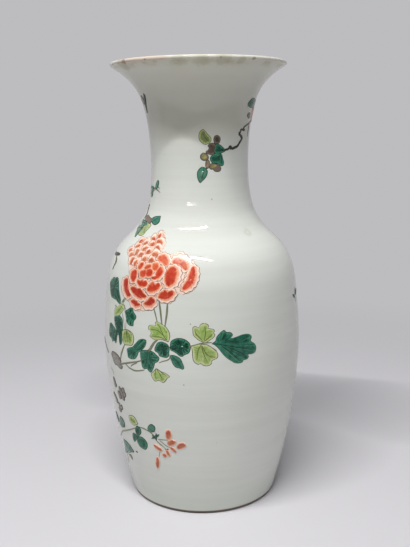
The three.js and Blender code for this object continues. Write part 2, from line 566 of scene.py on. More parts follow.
def with_spots(tree, place, body):
    """Round spots with a ragged edge."""
    rough = noise(tree, place, 260.0, 2.0)
    for angle, height, radius, most, colour in GLAZE_SPOTS:
        turn = math.radians(angle)
        middle = MM * Vector((outer(height) * math.sin(turn), -outer(height) * math.cos(turn), height))
        distance = vector_calc(tree, "DISTANCE", place, middle)
        reach = calc(tree, "MULTIPLY_ADD", rough, MM * radius, distance)
        share = span(tree, reach, 1.6 * MM * radius, 1.1 * MM * radius, 0.0, most)
        body = mixed(tree, share, body, srgb(*colour))
    return body


# Enamels

def hue_ramp(tree, source, stops):
    """A colour picked from stops (place, colour) by a value."""
    ramp = add(tree, "ShaderNodeValToRGB", {0: source})
    elements = ramp.color_ramp.elements
    while len(elements) < len(stops):
        elements.new(0.5)
    for element, (place, colour) in zip(elements, stops):
        element.position = place
        element.color = srgb(*colour)
    return ramp.outputs["Color"]


def enamel_material(name, brushwork, roughness, streaks, edge, border, thin, hues, deep, gloss=0.5):
    """Enamel by its paint value: drawn edge at 0, pale border, thin wash, and full colour at 1.

    The shade value picks the full colour from the hues, and deep is the colour where it pools.
    """
    material, tree, shader = new_material(name, roughness)
    shader.inputs["Specular IOR Level"].default_value = gloss
    place = add(tree, "ShaderNodeTexCoord").outputs["Object"]
    paint, shade, along = (
        add(tree, "ShaderNodeAttribute", attribute_name=label).outputs["Fac"]
        for label in ("paint", "shade", "along")
    )
    brush = add(tree, "ShaderNodeGroup", {
        "Vector": place, "Along": along, "Seed": shade,
    }, node_tree=brushwork).outputs
    uneven = calc(tree, "MULTIPLY_ADD", brush["Streak"], streaks, product(tree, brush["Pool"], 0.22))
    level = calc(tree, "MULTIPLY_ADD", uneven, span(tree, paint, 0.3, 0.5), paint)
    pooled = span(tree, brush["Pool"], -0.1, 0.45, 0.0, 0.75)
    full = mixed(tree, pooled, hue_ramp(tree, shade, hues), srgb(*deep))
    colour = mixed(tree, span(tree, paint, 0.02, 0.28), srgb(*edge), srgb(*border))
    colour = mixed(tree, span(tree, level, 0.3, 0.52, smooth=True), colour, srgb(*thin))
    colour = mixed(tree, span(tree, level, 0.6, 0.97, smooth=True), colour, full)
    tree.links.new(colour, shader.inputs["Base Color"])
    return material


def enamels():
    """The four enamels that the patches are filled with."""
    brushwork = brushwork_group()
    red = enamel_material(
        "iron red enamel", brushwork, roughness=0.3, streaks=0.35,
        edge=(134, 88, 70), border=(245, 218, 202), thin=(234, 160, 124),
        hues=((0.0, (172, 44, 32)), (0.45, (202, 64, 34)), (0.6, (214, 96, 54)),
              (0.8, (188, 100, 70)), (1.0, (172, 102, 76))),
        deep=(170, 40, 24),
    )
    dark_green = enamel_material(
        "dark green enamel", brushwork, roughness=0.1, streaks=1.0,
        edge=(18, 44, 34), border=(60, 116, 92), thin=(74, 136, 110),
        # The grey-green hue at 1 also serves as painted sheen on the leaves low on the left edge
        hues=((0.0, (6, 60, 44)), (0.2, (30, 90, 70)), (0.35, (42, 102, 82)),
              (0.6, (60, 120, 104)), (1.0, (122, 142, 120))),
        deep=(4, 48, 34), gloss=0.3,
    )
    light_green = enamel_material(
        "light green enamel", brushwork, roughness=0.1, streaks=0.9,
        edge=(70, 74, 34), border=(192, 200, 150), thin=(176, 192, 124),
        hues=((0.0, (110, 112, 80)), (0.2, (136, 142, 78)), (0.5, (148, 176, 94)), (1.0, (150, 164, 128))),
        deep=(112, 146, 68),
    )
    aubergine = enamel_material(
        "aubergine enamel", brushwork, roughness=0.12, streaks=0.6,
        edge=(56, 48, 44), border=(120, 110, 98), thin=(118, 106, 92),
        hues=((0.0, (58, 48, 46)), (0.25, (88, 72, 66)), (0.45, (130, 110, 102)),
              (0.6, (148, 148, 140)), (0.8, (176, 152, 108)), (1.0, (174, 172, 96))),
        deep=(84, 72, 58),
    )
    return red, dark_green, light_green, aubergine


# The wall unrolled: places (angle, height), and flat points (right, up) in mm from an anchor

ARC_HEIGHTS = np.linspace(0, HEIGHT, 1721)
ARC_STEPS = np.hypot(np.diff(ARC_HEIGHTS), np.diff(outer(ARC_HEIGHTS)))
ARC_LENGTHS = np.concatenate([[0.0], np.cumsum(ARC_STEPS)])


def arc_of(height):
    """The length of the outline from the foot up to a height."""
    return np.interp(height, ARC_HEIGHTS, ARC_LENGTHS)


def to_places(anchor, flat):
    """Places of flat points about an anchor."""
    height = np.interp(arc_of(anchor[1]) + flat[:, 1], ARC_LENGTHS, ARC_HEIGHTS)
    return np.stack([anchor[0] + np.degrees(flat[:, 0] / outer(height)), height], axis=1)


def to_flat(anchor, places):
    """Flat points about an anchor, from places."""
    up = arc_of(places[:, 1]) - arc_of(anchor[1])
    right = np.radians(places[:, 0] - anchor[0]) * outer(places[:, 1])
    return np.stack([right, up], axis=1)


def pairs(numbers):
    """Places (angle, height) from one row of numbers."""
    return np.array(numbers, float).reshape(-1, 2)


def moved(places, anchor, target, turn, scale, flip=False):
    """The same drawing somewhere else: taken from the anchor to the target, turned, scaled, mirrored."""
    flat = to_flat(anchor, places) * (-scale if flip else scale, scale)
    t = math.radians(turn)
    right = flat[:, 0] * math.cos(t) + flat[:, 1] * math.sin(t)
    up = flat[:, 1] * math.cos(t) - flat[:, 0] * math.sin(t)
    return to_places(target, np.stack([right, up], axis=1))


# Loops and lines

def smooth_line(points, closed, per_span=8):
    """A smooth line through the points, in even parts between one point and the next."""
    p = np.array(points, float)
    if closed:
        p = np.concatenate([p[-1:], p, p[:2]])
    else:
        p = np.concatenate([2 * p[:1] - p[1:2], p, 2 * p[-1:] - p[-2:-1]])
    t = (np.arange(per_span) / per_span)[None, :, None]
    a, b, c, d = (p[k:len(p) - 3 + k, None, :] for k in range(4))
    line = 0.5 * (2 * b + (c - a) * t + (2 * a - 5 * b + 4 * c - d) * t**2 + (3 * b - a - 3 * c + d) * t**3)
    line = line.reshape(-1, 2)
    return line if closed else np.concatenate([line, p[-2:-1]])


def even_loop(loop, count):
    """A closed loop walked in equal steps, anticlockwise."""
    x, y = loop.T
    if np.sum(x * np.roll(y, -1) - y * np.roll(x, -1)) < 0:
        loop = loop[::-1]
    ring = np.concatenate([loop, loop[:1]])
    along = np.concatenate([[0.0], np.cumsum(np.hypot(*np.diff(ring, axis=0).T))])
    at = np.linspace(0, along[-1], count, endpoint=False)
    return np.stack([np.interp(at, along, ring[:, k]) for k in (0, 1)], axis=1)


def smooth_loop(flat, step):
    """A smooth closed loop through flat points, walked in equal steps of about the given size."""
    loop = smooth_line(flat, closed=True)
    length = np.hypot(*(loop - np.roll(loop, 1, axis=0)).T).sum()
    return even_loop(loop, int(np.clip(length / step, 18, 260)))


def outward(loop):
    """The direction square to an anticlockwise loop at each of its points."""
    run = np.roll(loop, -1, axis=0) - np.roll(loop, 1, axis=0)
    return np.stack([run[:, 1], -run[:, 0]], axis=1) / np.hypot(*run.T)[:, None]


def scallops(count, size):
    """Waves round a loop of count points, of about the given number of points each."""
    return np.cos(2 * math.pi * np.arange(count) * round(count / size) / count)


def spread(loop, near, far, heading, steps=10):
    """A loop grown outwards, by far towards the heading and by near elsewhere."""
    for _ in range(steps):
        out = outward(loop)
        share = np.maximum(0, out @ heading)[:, None]
        loop = loop + out * (near + (far - near) * share) / steps
        loop = 0.8 * loop + 0.1 * (np.roll(loop, 1, axis=0) + np.roll(loop, -1, axis=0))
        loop = even_loop(loop, len(loop))
    return loop


def heart_of(loop):
    """The point inside a loop from which its whole edge is seen best."""
    sides = (np.linspace(low, high, 25) for low, high in zip(loop.min(axis=0), loop.max(axis=0)))
    trial = np.stack(np.meshgrid(*sides), axis=-1).reshape(-1, 2)
    clear = np.min(np.einsum("tpk,pk->tp", loop[None] - trial[:, None], outward(loop)), axis=1)
    return trial[np.argmax(clear)]


def inset_rings(loop, core, steps):
    """Rings (loop, lift, paint) inside a loop, each moved towards the core by its inset.

    More rings like the last one follow until the core is near on all sides.
    """
    reach = core - loop
    distance = np.maximum(np.hypot(*reach.T), 0.01)[:, None]
    steps = list(steps)
    while steps[-1][0] + RING_GAP < distance.max():
        steps.append((steps[-1][0] + RING_GAP, *steps[-1][1:]))
    return [
        (loop + reach * np.minimum(inset / distance, 0.97), lift, paint)
        for inset, lift, paint in steps
    ]


# Enamel patches and brush lines, drawn flat as (angle in radians, height, lift)

ROOT = -0.3  # lift of a patch's underside, inside the wall
LAYER_RISE = 0.008  # how much higher each next patch of an enamel lies
LINE_LIFT = 0.12
LINE_ROUGHNESS = 0.25

VEIN_RISE = 0.27  # lift of a vein over its leaf's layer
HAND_VEIN_LIFT = 0.33
VEIN_TAPER = 0.35
VEIN_REACH = 0.8  # share of the way from a leaf's foot to the tip of a lobe
VEIN_BOW = 0.06


class Painting:
    """Thin closed patches of one enamel, gathered into one flat mesh."""

    def __init__(self):
        self.points = []
        self.faces = []
        self.values = {"paint": [], "shade": [], "along": []}
        self.layer = 0

    def rise(self):
        """How far the next patch lies above the first."""
        return self.layer * LAYER_RISE

    def lay(self, anchor, flat, lift, paint, along):
        """Adds flat points at one lift, with their paint and along values."""
        places = to_places(anchor, flat)
        self.points.extend(np.stack([
            np.radians(places[:, 0]), places[:, 1] * MM, np.full(len(places), lift * MM),
        ], axis=1).tolist())
        self.values["paint"].extend([paint] * len(flat))
        self.values["along"].extend(along)

    def patch(self, anchor, rings, core, shade):
        """Adds a patch from its rings (loop, lift, paint), from the edge inwards, and its middle."""
        first = len(self.points)
        count = len(rings[0][0])
        round_loop = np.linspace(0, 1, count, endpoint=False).tolist()
        self.lay(anchor, rings[0][0], ROOT, rings[0][2], round_loop)
        for loop, lift, paint in rings:
            a = len(self.points) - count
            b = len(self.points)
            self.lay(anchor, loop, lift + self.rise(), paint, round_loop)
            self.faces.extend(
                (a + i, a + (i + 1) % count, b + (i + 1) % count, b + i) for i in range(count)
            )
        top = len(self.points)
        last = top - count
        self.lay(anchor, core[None, :], rings[-1][1] + self.rise(), rings[-1][2], [0.5])
        self.lay(anchor, core[None, :], ROOT, 0.0, [0.5])
        self.faces.extend((last + i, last + (i + 1) % count, top) for i in range(count))
        self.faces.extend((first + (i + 1) % count, first + i, top + 1) for i in range(count))
        self.values["shade"].extend([shade] * (len(self.points) - first))
        self.layer += 1

    def piece(self, name, tree, guide, finish):
        mesh = bpy.data.meshes.new(name + "_flat")
        mesh.from_pydata(self.points, [], self.faces)
        for label, values in self.values.items():
            mesh.attributes.new(label, "FLOAT", "POINT").data.foreach_set("value", values)
        return grown(name, mesh, tree, {"Wall": guide, "Finish": finish})


class Lines:
    """Brush lines, gathered as bare paths with a half width at each point."""

    def __init__(self):
        self.points = []
        self.edges = []
        self.half_width = []

    def line(self, places, width, taper, lift):
        """Adds a line through places, widest at about a third of its length and thinner to both ends."""
        along = np.linspace(0, 1, len(places))
        swell = taper + (1 - taper) * np.sin(math.pi * along**0.7)
        first = len(self.points)
        self.points.extend((math.radians(a), h * MM, lift * MM) for a, h in places)
        self.edges.extend((first + i, first + i + 1) for i in range(len(places) - 1))
        self.half_width.extend((width / 2 * MM * swell).tolist())

    def path(self, numbers, width, taper=0.6, lift=LINE_LIFT):
        """Adds a smooth line through a row of angles and heights."""
        self.line(smooth_line(pairs(numbers), closed=False, per_span=5), width, taper, lift)

    def piece(self, name, tree, guide, finish):
        mesh = bpy.data.meshes.new(name + "_paths")
        mesh.from_pydata(self.points, self.edges, [])
        mesh.attributes.new("half_width", "FLOAT", "POINT").data.foreach_set("value", self.half_width)
        piece = grown(name, mesh, tree, {"Wall": guide, "Finish": finish})
        fix_normals(piece)
        return piece


def attribute(tree, name):
    node = add(tree, "GeometryNodeInputNamedAttribute", {"Name": name}, data_type="FLOAT")
    return node.outputs["Attribute"]


def laying_group():
    """Takes flat points (angle, height, lift) to the outside of the wall."""
    group, source, result = geometry_tree("lay on the wall", (
        ("Wall", "NodeSocketObject", None), ("Reach", "NodeSocketFloat", 300 * MM),
    ))
    position = add(group, "GeometryNodeInputPosition").outputs[0]
    flat = add(group, "ShaderNodeSeparateXYZ", {0: position}).outputs
    back = calc(group, "MULTIPLY", calc(group, "COSINE", flat["X"]), -1.0)
    way = add(group, "ShaderNodeCombineXYZ", {"X": calc(group, "SINE", flat["X"]), "Y": back})
    axis = add(group, "ShaderNodeCombineXYZ", {"Z": flat["Y"]})
    wall_info = add(group, "GeometryNodeObjectInfo", {"Object": source.outputs["Wall"]})
    hit = add(group, "GeometryNodeRaycast", {
        "Target Geometry": wall_info.outputs["Geometry"], "Source Position": axis.outputs[0],
        "Ray Direction": way.outputs[0], "Ray Length": source.outputs["Reach"],
    }).outputs
    lift = vector_calc(group, "SCALE", hit["Hit Normal"], scale=flat["Z"])
    laid = add(group, "GeometryNodeSetPosition", {
        "Geometry": source.outputs["Geometry"],
        "Position": vector_calc(group, "ADD", hit["Hit Position"], lift),
    })
    group.links.new(laid.outputs[0], result.inputs[0])
    return group


def enamel_tree(laying):
    """Lays flat patches of enamel on the wall."""
    tree, source, result = geometry_tree("enamel on the wall", (
        ("Wall", "NodeSocketObject", None), ("Finish", "NodeSocketMaterial", None),
    ))
    laid = add(tree, "GeometryNodeGroup", {
        "Geometry": source.outputs["Geometry"], "Wall": source.outputs["Wall"],
    }, node_tree=laying)
    smooth = add(tree, "GeometryNodeSetShadeSmooth", {"Geometry": laid.outputs[0], "Shade Smooth": True})
    finish_tree(tree, smooth.outputs[0], source, result)
    return tree


def brush_tree(laying):
    """Lays each path on the wall and draws a flattened stroke along it."""
    tree, source, result = geometry_tree("brush lines", (
        ("Wall", "NodeSocketObject", None), ("Flatness", "NodeSocketFloat", 0.22),
        ("Sides", "NodeSocketInt", 8), ("Finish", "NodeSocketMaterial", None),
    ))
    place = add(tree, "GeometryNodeInputPosition").outputs[0]
    kept = add(tree, "GeometryNodeStoreNamedAttribute", {
        "Geometry": source.outputs["Geometry"], "Name": "lift", "Value": part_of(tree, place, "Z"),
    }, data_type="FLOAT", domain="POINT")
    laid = add(tree, "GeometryNodeGroup", {
        "Geometry": kept.outputs[0], "Wall": source.outputs["Wall"],
    }, node_tree=laying)
    curve = add(tree, "GeometryNodeMeshToCurve", {"Mesh": laid.outputs[0]})
    ring = add(tree, "GeometryNodeCurvePrimitiveCircle", {
        "Resolution": source.outputs["Sides"], "Radius": 1.0,
    })
    stroke = add(tree, "GeometryNodeCurveToMesh", {
        "Curve": curve.outputs[0], "Profile Curve": ring.outputs[0],
        "Scale": attribute(tree, "half_width"), "Fill Caps": True,
    })
    wall_info = add(tree, "GeometryNodeObjectInfo", {"Object": source.outputs["Wall"]})
    nearest, normal = (
        add(tree, "GeometryNodeSampleNearestSurface", {
            "Mesh": wall_info.outputs["Geometry"], "Value": value,
        }, data_type="FLOAT_VECTOR").outputs[0]
        for value in (place, add(tree, "GeometryNodeInputNormal").outputs[0])
    )
    above = vector_calc(tree, "DOT_PRODUCT", vector_calc(tree, "SUBTRACT", place, nearest), normal)
    lift = attribute(tree, "lift")
    clear = calc(tree, "SUBTRACT", above, lift)
    flattened = calc(tree, "MULTIPLY_ADD", clear, source.outputs["Flatness"], lift)
    pressed = vector_calc(tree, "ADD", nearest, vector_calc(tree, "SCALE", normal, scale=flattened))
    shaped = add(tree, "GeometryNodeSetPosition", {"Geometry": stroke.outputs[0], "Position": pressed})
    smooth = add(tree, "GeometryNodeSetShadeSmooth", {"Geometry": shaped.outputs[0], "Shade Smooth": True})
    finish_tree(tree, smooth.outputs[0], source, result)
    return tree


# How a patch is built up

RING_GAP = 2.8  # the most between two rings inside a patch
PETAL_STEP = 0.75  # between the points of a petal's edge
PATCH_STEP = 0.9  # between the points of a leaf's edge
VEINED_STEP = 1.2  # the same where only the tips of the lobes are looked for

# Rings of a petal's border: inset from the edge, the most of the border that it may take, lift, paint
PETAL_BORDER = (
    (0.35, 0.25, 0.06, 0.0), (0.65, 0.4, 0.07, 0.28), (9, 0.5, 0.08, 0.36), (9, 0.75, 0.085, 0.48),
)
SMALL_BORDER = (
    (0.5, 0.3, 0.06, 0.0), (0.85, 0.5, 0.07, 0.28), (9, 0.7, 0.08, 0.33), (9, 0.88, 0.085, 0.5),
)
SOFT_BORDER = (
    (0.1, 0.1, 0.05, 0.38), (9, 0.4, 0.07, 0.42), (9, 0.7, 0.08, 0.46), (9, 0.9, 0.085, 0.55),
)
PETAL_EDGE_LIFT = 0.03

# Rings of a filled patch: inset from its edge, lift, paint
PETAL_WASH = ((0.0, 0.10, 0.64), (0.7, 0.11, 0.82), (1.5, 0.11, 0.96), (2.6, 0.11, 1.0))
GROUND_STEPS = (
    (0.0, 0.02, 0.0), (0.3, 0.03, 0.0), (0.5, 0.03, 0.3), (1.2, 0.03, 0.33), (2.5, 0.03, 0.39),
)
PALE_STEPS = ((0.0, 0.02, 0.0), (0.3, 0.04, 0.0), (0.5, 0.05, 0.3))
LEAF_STEPS = (
    (0.0, 0.05, 0.0), (0.45, 0.15, 0.02), (0.75, 0.2, 0.35), (1.6, 0.24, 0.75), (3.0, 0.25, 0.95),
)
PALE_LEAF_STEPS = (
    (0.0, 0.05, 0.0), (0.45, 0.15, 0.02), (0.8, 0.2, 0.3),
    (1.8, 0.24, 0.4), (2.7, 0.25, 0.75), (4.0, 0.25, 0.95),
)


def petal(painting, places, heart, near, far, shade, border=PETAL_BORDER):
    """A petal round its wash of colour, with a pale border, wider away from the heart, and a fine edge."""
    anchor = places.mean(axis=0)
    away = to_flat(heart, anchor[None, :])[0]
    heading = away / max(np.hypot(*away), 0.01)
    wash = smooth_loop(to_flat(anchor, places), PETAL_STEP)
    edge = spread(wash, near, far, heading)
    ripple = np.minimum((0.1 + 0.1 * far) * scallops(len(edge), 5.5), near)
    edge = edge + outward(edge) * ripple[:, None]
    wash = wash + outward(wash) * 0.4
    core = heart_of(wash)
    gap = np.maximum(np.hypot(*(edge - wash).T), 0.05)[:, None]
    rings = [(edge, PETAL_EDGE_LIFT, border[0][3])]
    for inset, most, lift, paint in border:
        rings.append((edge - (edge - wash) * np.minimum(inset / gap, most), lift, paint))
    painting.patch(anchor, rings + inset_rings(wash, core, PETAL_WASH), core, shade)


def ground(painting, places, heart, steps):
    """A pale ground with a scalloped edge, for petals to be painted on."""
    anchor = np.array(heart, float)
    loop = smooth_loop(to_flat(anchor, places), PATCH_STEP)
    loop = loop + outward(loop) * 0.4 * scallops(len(loop), 5)[:, None]
    core = np.zeros(2)
    painting.patch(anchor, inset_rings(loop, core, steps), core, 0.5)


def leaf(painting, places, shade, steps=LEAF_STEPS):
    """A leaf or blot from its outline, full of enamel."""
    anchor = places.mean(axis=0)
    loop = smooth_loop(to_flat(anchor, places), PATCH_STEP)
    core = heart_of(loop)
    painting.patch(anchor, inset_rings(loop, core, steps), core, shade)


def fan_veins(lines, places, foot, width, lift):
    """Veins from a leaf's foot towards the tips of its lobes."""
    anchor = places.mean(axis=0)
    loop = smooth_loop(to_flat(anchor, places), VEINED_STEP)
    start = to_flat(anchor, np.array([foot], float))[0]
    reach = np.hypot(*(loop - start).T)
    for _ in range(3):
        reach = (reach * 2 + np.roll(reach, 1) + np.roll(reach, -1)) / 4
    is_tip = (reach > np.roll(reach, 1)) & (reach >= np.roll(reach, -1)) & (reach > 0.35 * reach.max())
    for tip in loop[is_tip]:
        end = start + (tip - start) * VEIN_REACH
        bow = np.array([start[1] - end[1], end[0] - start[0]]) * VEIN_BOW
        line = smooth_line([start, (start + end) / 2 + bow, end], closed=False, per_span=6)
        lines.line(to_places(anchor, line), width, VEIN_TAPER, lift)


# The drawing. Each row of numbers gives places round the vase: angle, height, angle, height and so on

# The middle of the big flower, from which its petals open, and the edge of the whole flower
FLOWER_HEART = (-30.0, 240.0)
FLOWER_EDGE = (
    -43, 209, -38, 206, -33, 207, -28, 209, -25.5, 213, -24, 218.5, -21, 216, -17, 216, -14, 220,
    -12.5, 225, -11, 224.5, -7, 226, -3, 231, -1, 240, -2, 248, -4, 252, -9, 258, -14, 261, -19, 258,
    -24, 259, -27.5, 260, -26.5, 263.5, -26.5, 267, -29, 271, -32, 275.5, -36, 276.5, -40, 273.5,
    -45, 270, -50, 269.5, -54, 267.5, -55.5, 263, -58.5, 260.5, -58.5, 256, -55.2, 254, -52.4, 250.2,
    -50, 246.2, -48.4, 242, -47, 237.8, -47.2, 235.2, -48.8, 234.2, -50.4, 232.8, -51.8, 230.6,
    -52.8, 227.2, -52, 221, -49.5, 216, -45.5, 214,
)

# Petals of which only the pale inside is seen
PALE_PETALS = (
    (-14.5, 232, -12, 231, -10.5, 236, -9, 242, -8.5, 248, -10.5, 250, -13, 247.5, -14, 241),
    (-24, 222, -28, 223.5, -32, 226, -33, 228.5, -30, 226.5, -26, 226.5, -23, 228),
)

# Petals of the big flower, the outermost first: width of the border, shade, edge of the red wash
PETALS = (
    (2.2, 0.9, (-57, 257.8, -55.3, 258.8, -54, 258.5, -54.8, 256.8, -56.5, 256.6)),
    (2.4, 0.8, (-52.5, 265.8, -50.8, 267.3, -49, 266.6, -49.5, 264.8, -51.5, 264.6)),
    (2.4, 0.9, (-52.5, 261.5, -50, 263.2, -48.3, 262.5, -49.2, 260.8, -51.5, 260.2)),
    (2.7, 0.8, (-36.5, 271.5, -35, 273.5, -33.3, 272.3, -33.8, 270.4, -35.5, 270.2)),
    (2.7, 0.9, (-41.7, 269.5, -40, 270.5, -38.3, 269.8, -37, 268.2, -39.5, 268.4)),
    (2.7, 0.8, (-35, 268, -33, 268.8, -30.5, 267.8, -29, 266, -31, 266.3, -33.5, 266.2)),
    (2.3, 0.9, (-46, 264.8, -44.5, 266.3, -42.8, 265.5, -43.5, 263.8, -45.2, 263.8)),
    (2.2, 0.8, (-39.8, 264.8, -37.8, 266, -35.8, 265.8, -36, 264, -38.5, 263.5)),
    (2.4, 0.9, (-33.5, 262.8, -31.8, 264, -30, 262.6, -29, 261, -31, 261)),
    (2.2, 0.8, (-43.7, 260.3, -42, 262, -40, 262, -40.8, 260, -42.3, 258.8)),
    (2.3, 0.9, (-48.5, 258.8, -46.8, 259.3, -46, 257, -47, 254.5, -48.2, 255.5)),
    (2.4, 0.8, (-53, 254.5, -51.2, 255.8, -49.3, 254.8, -50.2, 253, -52.2, 252.5)),
    (2.5, 0.8, (-49, 251, -47, 252.5, -46.7, 249.5, -47.5, 246.5, -49, 247.5)),
    (2.2, 0.9, (-38.7, 258.5, -37.2, 260, -35.5, 258.8, -36, 257.2, -38, 257)),
    (2.3, 0.8, (-33.5, 257.5, -31.5, 258.8, -29.5, 258.5, -28.5, 256.5, -30.5, 255.4, -32.5, 255.8)),
    (2.1, 0.9, (-44.3, 254.5, -43, 256.8, -41, 256.5, -41, 254.5, -42.5, 253.6)),
    (2.1, 0.8, (-45.2, 248, -44, 250.3, -42.8, 250, -43, 247, -44, 245.5)),
    (2, 0.9, (-34, 252, -32.5, 253.8, -30.8, 252.8, -30.2, 250.8, -32, 250.2, -33.5, 250.5)),
    (2, 0.8, (-39.3, 251.5, -38.5, 254, -36.5, 253.8, -36, 251.8, -37.5, 250.8)),
    (5.2, 0.65, (
        -16.5, 250, -17, 253.5, -15, 255.5, -12, 255, -9.5, 252.5, -8.3, 249, -8.8, 245.5, -10.3, 247,
        -12, 249.3, -14.5, 250.2,
    )),
    (3.4, 0.6, (
        -28, 254, -27, 256, -24.5, 257, -22, 255.2, -20.3, 252.5, -20.3, 249.5, -22, 249, -24, 251,
        -26.5, 252.6,
    )),
    (4.2, 0.45, (
        -10.2, 229.5, -9.5, 232.5, -8.2, 236, -7, 240.5, -6.2, 244, -5.2, 248.5, -4.2, 247.5, -3.6, 243,
        -4, 238, -5.5, 233, -7.5, 230, -9, 228.5,
    )),
    (4.2, 0.1, (
        -50, 231.5, -47.5, 233.5, -46.3, 231, -46.5, 228.5, -45.5, 224.5, -44.5, 222, -43.3, 219.5,
        -44.3, 217.5, -46, 218, -47.5, 220.5, -49, 223.5, -50, 227,
    )),
    (4.2, 0.1, (
        -42.5, 213.8, -41, 215.2, -38.8, 215.4, -37.3, 213, -35.5, 212.5, -37, 210.6, -38.8, 210.2,
        -40.8, 211.8,
    )),
    (4.2, 0, (
        -33.2, 213.6, -31, 216.5, -29, 220.3, -27.5, 219.5, -26, 217.5, -26.5, 215.3, -28.3, 213,
        -30.8, 212.2,
    )),
    (3.9, 0.25, (
        -24, 221, -22.8, 225.3, -21, 226, -20.5, 228, -18.5, 226, -16.5, 227.8, -15.2, 226.5,
        -15.8, 223.8, -17.5, 221.2, -20, 219.6, -22.3, 219.8,
    )),
    (4.6, 0.35, (
        -20, 244.5, -18.5, 247, -17, 248, -14.8, 246.5, -14, 243, -14.3, 239, -15, 235, -16.5, 232.5,
        -18.5, 231.5, -20, 233.5, -20.8, 237.5, -20.8, 241,
    )),
    (3.4, 0.1, (
        -43.5, 226, -41, 227.2, -38.5, 226.5, -36.5, 226.8, -35, 225, -33.5, 222.5, -31.5, 220.5,
        -33, 219, -35.5, 218, -38, 219, -40.5, 221, -42.5, 223.5,
    )),
    (2.8, 0.3, (
        -44.8, 240, -43.5, 242, -41, 242, -40.3, 239, -40.2, 236, -41.2, 232.5, -42.5, 231.5, -44, 233.5,
        -45, 236.5,
    )),
    (3.2, 0.45, (
        -31.3, 226.5, -30.8, 229.5, -29.5, 232.5, -28, 234, -26.5, 232, -24.8, 233.5, -23.5, 232,
        -24, 229.5, -26, 226.5, -28.5, 224.8, -30.3, 225,
    )),
    (2.8, 0.3, (
        -39, 234.5, -38.8, 231.8, -36.8, 229.2, -34.5, 228.6, -32.3, 230, -31.5, 232.5, -32.5, 234.5,
        -34.5, 233.5, -35.2, 235, -36.8, 233.5,
    )),
    (2.5, 0.6, (
        -40.6, 246.5, -39.5, 248.3, -37.3, 249.5, -36.8, 247, -38, 244.3, -39.2, 243, -40.3, 244.5,
    )),
    (2.4, 0.6, (-30, 249.5, -27.2, 250, -26, 247.5, -26.2, 244.5, -28.2, 243.5, -30, 245.5)),
    (2.1, 0.7, (-35.5, 245, -34, 248, -31.5, 248.2, -31, 246, -32, 243.9, -34, 243.8)),
    (3, 0.45, (
        -26.3, 244, -24.3, 247.3, -22.8, 245.5, -22.9, 241.5, -24.3, 238.5, -26.5, 236.6, -29, 237,
        -29.2, 238, -26.6, 239.3, -26.9, 241.5,
    )),
    (2, 0.4, (-38, 241.5, -36.8, 243, -34.5, 243.5, -33.5, 241, -34, 238, -35.5, 236.6, -37.3, 238)),
    (2, 0.4, (-33.5, 243.5, -31, 245, -29.3, 243, -29.2, 240, -30.8, 238, -32.8, 238.5, -33.6, 241)),
)
SMALL_PETAL_SHADE = 0.75  # petals with a shade above this are the small ones of the flower's crown

# Small red petals of the spray low on the body, and last the bud on the neck, in the same form
SPRAY = (
    (1.3, 1, (
        -22, 89, -21.6, 91.8, -20.4, 93.4, -19.4, 92.2, -18.8, 89, -19.2, 86.2, -20.4, 84.2, -21.8, 84.6,
    )),
    (1.3, 1, (
        -21.2, 80.8, -19, 82.6, -17.4, 82.4, -16.2, 81.6, -17.4, 79.4, -19.2, 77.6, -20.8, 77.2,
        -21.4, 78.8,
    )),
    (1.3, 1, (
        -15.8, 76.2, -14.6, 79.2, -12.6, 80.8, -10.6, 79.8, -10.8, 78, -12.4, 76.4, -14, 75.2, -15.4, 75,
    )),
    (1.3, 1, (
        -19.8, 75.2, -18.8, 74.8, -17.6, 73.8, -16.8, 71.8, -16.6, 70.2, -17.8, 71.2, -19, 72.4,
        -19.8, 73.8,
    )),
    (1.3, 1, (-25.6, 65.6, -24.6, 66.8, -23.6, 66, -23.4, 64.2, -24.2, 63.2, -25.2, 64)),
    (1.3, 1, (-23, 71, -22.2, 71.4, -21.6, 69.2, -20.8, 66.2, -20.6, 65, -21.6, 65.8, -22.6, 68.2)),
    (1.3, 1, (
        -31.2, 74.6, -30, 74.2, -28.2, 73.2, -26.6, 71.6, -25.8, 70, -26.8, 69.6, -28, 70, -29.6, 71.2,
        -30.8, 73,
    )),
    (1.3, 1, (
        -29.8, 61, -29.2, 60.2, -29, 56.4, -29.6, 52.6, -30.6, 48.6, -31.4, 49.6, -31.4, 54, -30.6, 58.8,
    )),
    (1.2, 0.7, (76, 387, 84, 388, 88, 385, 88, 379, 84, 375.5, 79, 377, 77, 382)),
)
